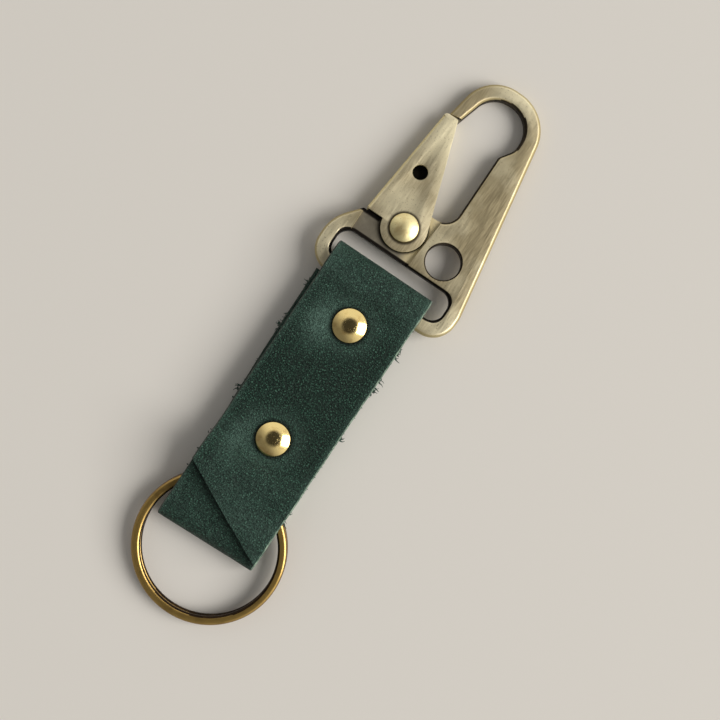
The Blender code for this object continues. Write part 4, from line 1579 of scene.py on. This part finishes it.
@dataclass
class LeatherStrap:
    """The leather strip: three layers deep between its rivets, looped at both ends.

    The rows from wobble on are what cutting, riveting and use have done to it: wandering edges, dimples
    round the caps, waves, a drawn-up corner, and where it is pale from rubbing and grimy. The folds' paleness
    is partly painted sheen, the dark ring round each cap is partly painted shade, and the dark band under
    the front end is painted shadow.
    """

    finishes: Finishes
    width: float = 0.0250
    thickness: float = 0.0016
    layer_gap: float = 0.0003
    hook_bend_radius: float = 0.0030
    ring_bend_radius: float = 0.0030
    front_end_left: float = 0.0155
    front_end_right: float = 0.0022
    inner_end_gap: float = 0.0007
    inner_end_drift: float = 0.0010
    cap_radius: float = 0.0040
    cap_to_slope: float = 0.0051
    rivet_draw: float = 0.00005
    hook_thickness: float = 0.0033
    bar_height: float = 0.0035
    bar_clearance: float = 0.00095
    ring_crest_run: float = 0.0013
    ring_height: float = 0.00345
    ring_clearance: float = 0.0003
    table_gap: float = 0.0001
    punch_radius: float = 0.00205
    edge_rounding: float = 0.00032
    edge_steps: int = 5
    column: float = 0.00055
    row: float = 0.00042
    slant_run: float = 0.026
    wobble: float = 0.00013
    edge_band: float = 0.003
    sway_length: float = 0.009
    nick_length: float = 0.0012
    noise_start: Place = (0.37, 5.1, 2.9)
    noise_rows: tuple[int, int] = (7, 9)
    dimple_depth: float = 0.00010
    dimple_run: float = 0.0022
    wave_height: float = 0.00005
    wave_length: float = 0.007
    fold_skew: float = 0.00085
    wear_all: float = 0.05
    wear_edge: float = 0.45
    wear_edge_band: float = 0.0016
    # Paler towards the folds: partly rubbing, partly painted sheen.
    wear_and_sheen_fold: float = 0.36
    wear_and_sheen_fold_rise: float = 1.6
    wear_inner: float = 0.16
    blob_across: float = -0.0062
    blob_below: float = 0.0030
    blob_size: float = 0.0047
    blob_narrow: float = 0.75
    halo: float = 0.25
    halo_gap: float = 0.0015
    halo_size: float = 0.0018
    # Dark ring round the caps, soiling with painted shade, and painted shadow under the front end's edge.
    shade_and_grime_most: float = 0.9
    shade_and_grime_round_cap: float = 0.0008
    shadow_under_end: float = 0.0009

    def __post_init__(self) -> None:
        """Take the folds', rivets', bar's and ring's places from the frame."""
        low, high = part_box("leather_strap")
        self.ring_fold_y, self.hook_fold_y = low.y, high.y
        caps = [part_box(f"{label}_rivet_cap") for label in CapRivet.labels]
        self.rivet_y = [(cap[0].y + cap[1].y) / 2 for cap in caps]
        self.table_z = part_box("upper_rivet_post")[0].z
        swing = Vector(joint("hook_swing")["pos_m"])
        self.bar_y = swing.y
        self.inner_z = swing.z
        turn = joint("ring_turn")
        self.ring_tilt = math.atan2(-turn["axis"][1], turn["axis"][2])
        self.ring_z = turn["pos_m"][2]
        ring_low, ring_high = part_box("key_ring")
        self.ring_radius = (ring_high.x - ring_low.x) / 2
        self.path = Travel(self.middle_line())
        points = self.path.points
        self.fold_travel = self.path.lengths[min(range(len(points)), key=lambda index: points[index].x)]

    def middle_line(self) -> Outline:
        """The strip's middle line in Y and Z, from its slanted front end to its inner end.

        Returns:
            The line.
        """
        back_z = self.thickness / 2
        pitch = self.thickness + self.layer_gap
        front_z = self.inner_z + pitch
        half_ring = self.ring_height / 2 + self.ring_clearance + self.thickness / 2
        over_ring = self.ring_z + half_ring / math.cos(self.ring_tilt)
        fold_y = self.ring_fold_y + self.thickness / 2
        crest_y = self.ring_fold_y + self.ring_radius + self.ring_crest_run
        upper, lower = self.rivet_y
        foot_y = lower - self.cap_to_slope
        under_ring = self.table_z + self.table_gap + self.thickness / 2
        slope = math.tan(self.ring_tilt)
        inner = (
            (fold_y, over_ring + (fold_y - self.ring_fold_y) * slope, 0),
            (crest_y, over_ring + (crest_y - self.ring_fold_y) * slope, self.ring_bend_radius),
            (foot_y, self.inner_z, self.ring_bend_radius),
            (self.bar_y - self.bar_height / 2 - self.inner_end_gap, self.inner_z, 0),
        )
        top_y = self.hook_fold_y - self.thickness / 2
        spread = self.hook_thickness / 2 + self.bar_clearance + self.thickness / 2
        leave_y = upper + self.cap_to_slope
        reach_y = self.bar_y - self.bar_height / 2 + self.bar_clearance
        front = list(Outline(inner, closed=False).shifted(pitch).corners[:3])
        front_y = self.ring_fold_y + self.front_end_right
        front[0] = (front_y, front[0][1] + (front_y - front[0][0]) * slope, 0)
        ring_fold = (inner[0][1] - under_ring) / 2
        loop = (
            (leave_y, front_z, self.hook_bend_radius),
            (reach_y, self.inner_z + spread, self.hook_bend_radius),
            (top_y, self.inner_z + spread, spread),
            (top_y, self.inner_z - spread, spread),
            (reach_y, self.inner_z - spread, self.hook_bend_radius),
            (leave_y, back_z + self.rivet_draw, self.hook_bend_radius),
            (upper - self.cap_to_slope, back_z, 0),
            (foot_y + 2 * self.cap_to_slope, back_z, 0),
            (foot_y, back_z + self.rivet_draw, self.ring_bend_radius),
            (crest_y, under_ring, self.ring_bend_radius),
            (fold_y, under_ring, ring_fold),
            (fold_y, inner[0][1], ring_fold),
        )
        return Outline(tuple(front) + loop + inner[1:], closed=False)

    def section(self) -> list[tuple[float, float, int]]:
        """The strip's section, once round.

        Returns:
            How far across each point is, how far towards the grain side, and the number of the finish
            that follows it: 0 for a cut edge, 1 for grain and 2 for flesh.
        """
        half, thick, edge = self.width / 2, self.thickness / 2, self.edge_rounding
        columns = round((self.width - 2 * edge) / self.column)
        made = []
        for side in (1, -1):
            for step in range(columns):
                across = -half + edge + (self.width - 2 * edge) * step / columns
                made.append((side * across, side * thick, 1 if side == 1 else 2))
            for flip in (1, -1):
                for step in range(self.edge_steps):
                    angle = math.pi / 2 * (step / self.edge_steps)
                    if flip == -1:
                        angle += math.pi / 2
                    across = half - edge + edge * math.sin(angle)
                    up = math.copysign(thick - edge, flip) + edge * math.cos(angle)
                    made.append((side * across, side * up, 0))
        return made

    def sideways(self, across: float, travel: float, along: float) -> float:
        """How far across a point lies on the finished strip, whose edges wander.

        Args:
            across: How far right of the strip's middle.
            travel: How far along the strip.
            along: The place's Y.

        Returns:
            The place's X.
        """
        near_edge = max(0.0, (abs(across) - self.width / 2 + self.edge_band) / self.edge_band)
        sway, nick = (
            noise.noise(Vector(self.noise_start) + Vector((travel / length, math.copysign(row, across), 0)))
            for length, row in zip((self.sway_length, self.nick_length), self.noise_rows)
        )
        moved_to = across + near_edge * (sway + nick / 4) * self.wobble
        if travel > self.fold_travel:
            start, end = self.rivet_y[1], self.bar_y - self.bar_height / 2 - self.inner_end_gap
            moved_to -= self.inner_end_drift * math.sqrt(max(0.0, (along - start) / (end - start)))
        return moved_to

    def outer_wear(self, across: float, along: float, around: float, down: float) -> float:
        """How much paler the outside is at a point than the strip is all over, from rubbing and painted
        sheen.

        Args:
            across: How far right of the strip's middle.
            along: The point's Y.
            around: How far it is from the nearer rivet.
            down: How far it is from the lower rivet towards the ring's fold, 1 at the fold.

        Returns:
            The paleness of the faded places below the rivets, of the halos round the caps and of the two
            folds, the last partly painted sheen.
        """
        wear_and_sheen = self.halo * math.exp(-(((around - self.cap_radius - self.halo_gap) / self.halo_size) ** 2))
        for y in self.rivet_y:
            away = math.hypot((across - self.blob_across) / self.blob_narrow, along - y + self.blob_below)
            wear_and_sheen += math.exp(-((away / self.blob_size) ** 2))
        up = (along - self.rivet_y[0]) / (self.hook_fold_y - self.rivet_y[0])
        # The folds' paleness is partly painted sheen.
        return wear_and_sheen + self.wear_and_sheen_fold * max(0.0, min(1.0, max(down, up) * self.wear_and_sheen_fold_rise))

    def spot(self, across: float, up: float, distance: float) -> tuple[Vector, float, float]:
        """Where a point of the flat strip comes to lie.

        Args:
            across: How far right of the strip's middle.
            up: How far towards the grain side.
            distance: How far from the front end's right corner.

        Returns:
            The place, how pale it is from rubbing and painted sheen, and how dark from soiling and painted
            shade.
        """
        slant = (self.front_end_left - self.front_end_right) * (0.5 - across / self.width)
        travel = distance + slant * max(0.0, 1 - distance / self.slant_run)
        middle = self.path.at(travel)
        around = min(math.hypot(across, middle.x - y) for y in self.rivet_y)
        flat = Vector((across / self.wave_length, travel / self.wave_length, 0))
        lift = noise.noise(flat) * self.wave_height
        outer = travel < self.fold_travel and up > 0
        inner = travel > self.fold_travel
        if outer:
            press = max(0.0, 1 - max(0.0, around - self.cap_radius) / self.dimple_run)
            lift -= press * press * (3 - 2 * press) * self.dimple_depth
        point = middle + self.path.left(travel, self.row) * (up + lift)
        down = (self.rivet_y[1] - point.x) / (self.rivet_y[1] - self.ring_fold_y)
        point.x += self.fold_skew * (0.5 + across / self.width) * max(0.0, down) ** 2
        from_edge = self.width / 2 - abs(across)
        wear_and_sheen = self.wear_all + self.wear_edge * max(0.0, 1 - from_edge / self.wear_edge_band)
        shade_and_grime = 0.0
        if outer:
            wear_and_sheen += self.outer_wear(across, middle.x, around, down)
            # Dark ring round each cap: soiling with painted shade.
            shade_and_grime = max(0.0, 1 - abs(around - self.cap_radius) / self.shade_and_grime_round_cap)
        elif inner:
            wear_and_sheen += self.wear_inner
        # Painted shadow on the layer under the front end's slanted edge.
        if inner and up > 0:
            shade_and_grime = max(0.0, 1 - abs(self.path.at(slant).x - middle.x) / self.shadow_under_end)
        place_x = self.sideways(across, travel, middle.x)
        return Vector((place_x, point.x, point.y)), min(1.0, wear_and_sheen), self.shade_and_grime_most * shade_and_grime

    def build(self) -> None:
        """Wrap a fine grid round the strip's section and along its path, and punch the rivet holes."""
        section = self.section()
        count = len(section)
        rows = round(self.path.total / self.row)
        bm = bmesh.new()
        bmesh.ops.create_grid(bm, x_segments=count, y_segments=rows, size=0.5)
        side = bm.faces.layers.int.new("side")
        for face in bm.faces:
            face[side] = section[int((face.calc_center_median().x + 0.5) * count)][2]
        wear_and_sheen = bm.verts.layers.float.new("wear_and_sheen")
        shade_and_grime = bm.verts.layers.float.new("shade_and_grime")
        for vert in bm.verts:
            across, up, _ = section[round((vert.co.x + 0.5) * count) % count]
            distance = (vert.co.y + 0.5) * self.path.total
            vert.co, vert[wear_and_sheen], vert[shade_and_grime] = self.spot(across, up, distance)
        bmesh.ops.remove_doubles(bm, verts=bm.verts, dist=MERGE_DISTANCE)
        bmesh.ops.edgeloop_fill(bm, edges=[edge for edge in bm.edges if edge.is_boundary])
        blank = Blank(bm)
        for y in self.rivet_y:
            low = self.table_z - CUT_OVERRUN
            blank.cut(drilled(Vector((0, y)), self.punch_radius, low, self.inner_z + CUT_OVERRUN * 2))
        mesh = blank.mesh()
        kinds = [value.value for value in mesh.attributes["side"].data]
        finishes = (self.finishes.cut_edge, self.finishes.grain, self.finishes.flesh)
        place("strap_leather", mesh, finishes, Body.STRAP, Slot.LEATHER, ["leather_strap"], kinds)


@dataclass
class LooseFibres:
    """Fibres that stand out of the strip's cut edges."""

    finishes: Finishes
    strap: LeatherStrap
    radius: float = 0.00022
    seed: int = 7
    clusters: tuple[tuple[float, int, int], ...] = (
        (0.0181, -1, 14), (0.0098, -1, 9), (0.0064, -1, 16), (0.0163, 1, 10), (0.0085, 1, 7),
        (0.0058, 1, 12), (-0.0075, 1, 4), (-0.0105, -1, 5), (-0.0285, 1, 4),
    )
    cluster_spread: float = 0.0007
    cluster_lengths: tuple[float, float] = (0.0006, 0.0019)
    scattered: int = 70
    scattered_lengths: tuple[float, float] = (0.00025, 0.0006)
    clear_of_ring_fold: float = 0.012
    clear_of_hook_fold: float = 0.008
    root_depth: float = 0.0002
    root_shares: tuple[float, float] = (0.3, 0.4)
    drift_share: float = 0.6
    lean_along: tuple[float, float] = (-0.9, 0.9)
    lean_up: tuple[float, float] = (-0.3, 0.5)
    curl: Place = (0.25, 0.4, 0.25)
    thickness_shares: tuple[float, float] = (0.7, 1.2)
    taper: float = 0.8

    def build(self) -> None:
        """Grow the tufts and the scattered fibres as tapered tubes."""
        draw = Random(self.seed)
        bm = bmesh.new()
        for y, side, count in self.clusters:
            for _ in range(count):
                root_y = y + draw.gauss(0, self.cluster_spread)
                self.grow(bm, draw, root_y, side, draw.uniform(*self.cluster_lengths))
        low = self.strap.ring_fold_y + self.clear_of_ring_fold
        high = self.strap.hook_fold_y - self.clear_of_hook_fold
        for _ in range(self.scattered):
            y = draw.uniform(low, high)
            self.grow(bm, draw, y, draw.choice((-1, 1)), draw.uniform(*self.scattered_lengths))
        place("edge_fibres", plain_mesh(bm), [self.finishes.fibre], Body.STRAP, Slot.LEATHER)

    def grow(self, bm: Solid, draw: Random, y: float, side: int, length: float) -> None:
        """Add one fibre to an edge.

        Args:
            bm: The bmesh that takes it.
            draw: Where its random sizes come from.
            y: Where it stands along the strap.
            side: 1 for the right edge, -1 for the left.
            length: How long it is.
        """
        strap = self.strap
        low, high = (strap.thickness * share for share in self.root_shares)
        root_z = draw.uniform(low, strap.inner_z + high)
        here = Vector((side * (strap.width / 2 - self.root_depth), y, root_z))
        if side < 0:
            here.x -= strap.inner_end_drift * self.drift_share
        heading = Vector((side, draw.uniform(*self.lean_along), draw.uniform(*self.lean_up))).normalized()
        line = [here]
        for _ in range(FIBRE_STEPS):
            heading = (heading + Vector([draw.gauss(0, size) for size in self.curl])).normalized()
            here = here + heading * (length / FIBRE_STEPS)
            line.append(here)
        thick = self.radius * draw.uniform(*self.thickness_shares)
        radii = [thick * (1 - self.taper * step / FIBRE_STEPS) for step in range(FIBRE_STEPS + 1)]
        tube(line, radii, FIBRE_SIDES, bm)


@dataclass
class CapRivet:
    """A double cap rivet: a cap with a socket in front, and a cap with the post behind."""

    labels: ClassVar[tuple[str, str]] = ("upper", "lower")
    finishes: Finishes
    label: str
    cap_radius: float = 0.0040
    dome_height: float = 0.0013
    rim_height: float = 0.0003
    rim_edge: float = 0.0002
    post_radius: float = 0.00125
    socket_wall: float = 0.00035
    socket_depth: float = 0.0028
    end_gap: float = 0.0003
    clearance: float = 0.00015
    seat_gap: float = 0.0001

    def build(self) -> None:
        """Turn both halves."""
        low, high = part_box(f"{self.label}_rivet_cap")
        y = (low.y + high.y) / 2
        rim = high.z - self.dome_height
        seat = rim - self.rim_height
        socket = self.post_radius + self.clearance
        bore_end = rim + self.dome_height / 2
        cap = dome(self.cap_radius, self.dome_height, rim, self.rim_edge)
        cap += [
            (self.cap_radius, seat), (socket + self.socket_wall, seat),
            (socket + self.socket_wall, seat - self.socket_depth), (socket, seat - self.socket_depth),
            (socket, bore_end - self.end_gap), (0, bore_end - self.end_gap),
        ]
        back_rim = -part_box(f"{self.label}_rivet_post")[0].z - self.dome_height
        back = dome(self.cap_radius, self.dome_height, back_rim, self.rim_edge)
        post = [(radius, -height) for radius, height in back]
        post += [
            (self.cap_radius, -self.seat_gap), (self.post_radius, -self.seat_gap),
            (self.post_radius, bore_end - 2 * self.end_gap), (0, bore_end - 2 * self.end_gap),
        ]
        for half, profile in (("cap", cap), ("post", post)):
            place(
                f"{self.label}_{half}_turned", plain_mesh(turned(profile, Vector((0, y)))),
                [self.finishes.polished], Body.STRAP, Slot.POLISHED, [f"{self.label}_rivet_{half}"],
            )


@dataclass
class SplitRing:
    """A split ring: a flat coil, a crank up to the next level, and a second flat coil."""

    finishes: Finishes
    wire_width: float = 0.0021
    wire_height: float = 0.0015
    wire_corner: float = 0.0007
    coil_gap: float = 0.00045
    crank: float = math.radians(36)
    end_gap: float = math.radians(6)
    turned_by: float = math.radians(114)
    # The lamp's heading; the inner wall's painted shade widens on the side away from it.
    lit_heading: float = math.radians(21)
    shade_from: float = -0.45
    shade_sway: float = 0.30
    steps_per_turn: int = 200
    section_step: float = math.radians(12)
    end_rounding: float = 0.00018

    def build(self) -> None:
        """Sweep the wire's section round both coils and lay the ring in its place."""
        turn = joint("ring_turn")
        low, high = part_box("key_ring")
        middle_radius = (high.x - low.x) / 2 - self.wire_width / 2
        height = 2 * self.wire_height + self.coil_gap
        half = self.wire_height / 2
        section = Outline.rectangle(self.wire_width / 2, -half, half, self.wire_corner)
        bm = bmesh.new()
        base = half - height / 2
        points = [point for point, _ in section.points(self.section_step)]
        verts = [bm.verts.new((middle_radius + point.x, 0, base + point.y)) for point in points]
        face = bm.faces.new(verts)
        rims = list(face.edges)
        tail = [face, *face.edges, *face.verts]
        coil = 2 * math.pi - self.crank - self.end_gap
        climb = self.wire_height + self.coil_gap
        for angle, rise in ((coil, 0.0), (self.crank, climb), (coil, 0.0)):
            steps = math.ceil(angle / (2 * math.pi) * self.steps_per_turn)
            tail = bmesh.ops.spin(
                bm, geom=tail, cent=(0, 0, 0), axis=(0, 0, 1), dvec=(0, 0, rise / steps), angle=angle,
                steps=steps, use_merge=False,
            )["geom_last"]
        rims += [item for item in tail if isinstance(item, bmesh.types.BMEdge)]
        bmesh.ops.bevel(
            bm, geom=rims, offset=self.end_rounding, segments=END_SEGMENTS, clamp_overlap=True, **BEVEL,
        )
        bmesh.ops.rotate(bm, verts=bm.verts, cent=(0, 0, 0), matrix=Matrix.Rotation(self.turned_by, 3, "Z"))
        tilt = math.atan2(-turn["axis"][1], turn["axis"][2])
        mesh = plain_mesh(bm)
        kinds = [self.wire_face(polygon) for polygon in mesh.polygons]
        mesh.transform(Matrix.Translation(turn["pos_m"]) @ Matrix.Rotation(tilt, 4, "X"))
        finishes = (self.finishes.dark, self.finishes.shaded_wall)
        place("split_ring", mesh, finishes, Body.RING, Slot.DARK, ["key_ring"], kinds)

    def wire_face(self, polygon: bpy.types.MeshPolygon) -> int:
        """Choose the finish of a face of the wire.

        Args:
            polygon: The face, with the ring's middle at the origin.

        Returns:
            0 for the coat bared by rubbing, 1 for painted shade on the inner wall, which is wider on the side
            that faces away from the lamp.
        """
        outward = Vector(polygon.center[:2]).normalized()
        # How far the face looks towards the lamp; the painted shade on the inner wall is wider away from it.
        worn_and_lit = outward.dot(Vector((math.cos(self.lit_heading), math.sin(self.lit_heading))))
        return int(outward.dot(Vector(polygon.normal[:2])) < self.shade_sway * worn_and_lit + self.shade_from)


@dataclass
class Studio:
    """The floor, the lamp, the sky and the camera."""

    finishes: Finishes
    floor_z: float
    floor_size: float = 0.85
    camera_x: float = 0.00622
    camera_y: float = 0.01025
    camera_height: float = 0.300
    camera_start: float = 0.01
    camera_turn: float = math.radians(34)
    lens: float = 65.5
    sky_tint: Colour = (1.0, 0.985, 0.96, 1.0)
    ambient: float = 0.30
    sky_bright: float = 0.95
    sky_dim: float = 0.20
    sky_zenith: float = 0.05
    sky_behind: float = 0.68
    zenith_edge: tuple[float, float] = (0.79, 0.915)
    bright_edge: tuple[float, float] = (-0.75, 0.25)
    bright_heading: float = math.radians(65)
    lamp_heading: float = math.radians(21)
    lamp_elevation: float = math.radians(38)
    lamp_distance: float = 4.2
    lamp_size: float = 3.02
    lamp_power: float = 193.3
    lamp_tint: tuple[float, float, float] = (1.0, 0.975, 0.94)

    def build(self) -> None:
        """Set up the studio."""
        self.build_floor()
        self.build_sky()
        self.build_camera()
        self.build_lamp()
        bpy.context.scene.view_settings.view_transform = "Standard"

    def build_floor(self) -> None:
        """Lay the floor under the fob."""
        bm = bmesh.new()
        bmesh.ops.create_grid(bm, x_segments=1, y_segments=1, size=self.floor_size)
        bmesh.ops.translate(bm, verts=bm.verts, vec=(0, 0, self.floor_z))
        mesh = plain_mesh(bm)
        mesh.materials.append(self.finishes.floor.material())
        linked("floor", mesh)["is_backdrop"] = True

    def build_sky(self) -> None:
        """Hang a sky that lights evenly, and that metal sees pale at the sides and dark overhead."""
        world = bpy.data.worlds.new("studio_sky")
        bpy.context.scene.world = world
        world.use_nodes = True
        world.node_tree.nodes.clear()
        sky = Nodes(world.node_tree)
        direction = sky.node("ShaderNodeTexCoord", {}).outputs["Generated"]
        heading = (math.cos(self.bright_heading), math.sin(self.bright_heading), 0)
        lean = sky.node("ShaderNodeVectorMath", {0: direction, 1: heading}, operation="DOT_PRODUCT")
        around = sky.spread(lean.outputs["Value"], *self.bright_edge, self.sky_dim, self.sky_bright)
        height = sky.node("ShaderNodeSeparateXYZ", {0: direction}).outputs[2]
        seen = sky.mix(sky.spread(height, *self.zenith_edge), around, self.sky_zenith)
        rays = sky.node("ShaderNodeLightPath", {}).outputs
        shiny = sky.count("MAXIMUM", rays["Is Glossy Ray"], rays["Is Transmission Ray"])
        strength = sky.mix(shiny, self.ambient, seen)
        strength = sky.mix(rays["Is Camera Ray"], strength, self.sky_behind)
        inputs = {"Color": self.sky_tint, "Strength": strength}
        sky.node("ShaderNodeOutputWorld", {0: sky.node("ShaderNodeBackground", inputs).outputs[0]})

    def build_camera(self) -> None:
        """Hang the camera straight above the fob, turned so that the strap leans to the right."""
        data = bpy.data.cameras.new("camera")
        data.lens = self.lens
        data.clip_start = self.camera_start
        camera = linked("camera", data)
        camera.location = (self.camera_x, self.camera_y, self.floor_z + self.camera_height)
        camera.rotation_euler = (0, 0, self.camera_turn)
        bpy.context.scene.camera = camera

    def build_lamp(self) -> None:
        """Stand a soft square lamp to the right and point it at the fob."""
        data = bpy.data.lights.new("soft_lamp", "AREA")
        data.shape = "SQUARE"
        data.size = self.lamp_size
        data.energy = self.lamp_power
        data.color = self.lamp_tint
        lamp = linked("soft_lamp", data)
        level = math.cos(self.lamp_elevation)
        way = Vector((
            math.cos(self.lamp_heading) * level, math.sin(self.lamp_heading) * level,
            math.sin(self.lamp_elevation),
        ))
        lamp.location = way * self.lamp_distance
        lamp.rotation_mode = "QUATERNION"
        lamp.rotation_quaternion = (-way).to_track_quat("-Z", "Y")


def main() -> None:
    """Build every piece of the fob and the studio, the floor set at the bottom of the imported parts' box."""
    logging.basicConfig(level=logging.INFO, format="%(name)s: %(message)s")
    cad_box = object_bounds()
    sizes = SnapHookSizes()
    hinge = joint("gate_hinge")
    bar = Vector(joint("hook_swing")["pos_m"])
    slot = SlotPlace(
        bar.x, bar.y + (sizes.bar_height + sizes.slot_height) / 2, sizes.slot_length / 2,
        sizes.slot_height / 2, sizes.slot_corner_radius,
    )
    finishes = Finishes(Vector(hinge["pos_m"]) - Vector(hinge["axis"]) * sizes.gate_half, slot)
    SnapHook(sizes, finishes).build()
    strap = LeatherStrap(finishes)
    strap.build()
    LooseFibres(finishes, strap).build()
    for label in CapRivet.labels:
        CapRivet(finishes, label).build()
    SplitRing(finishes).build()
    Studio(finishes, cad_box[0].z).build()


if __name__ == "__main__":
    main()
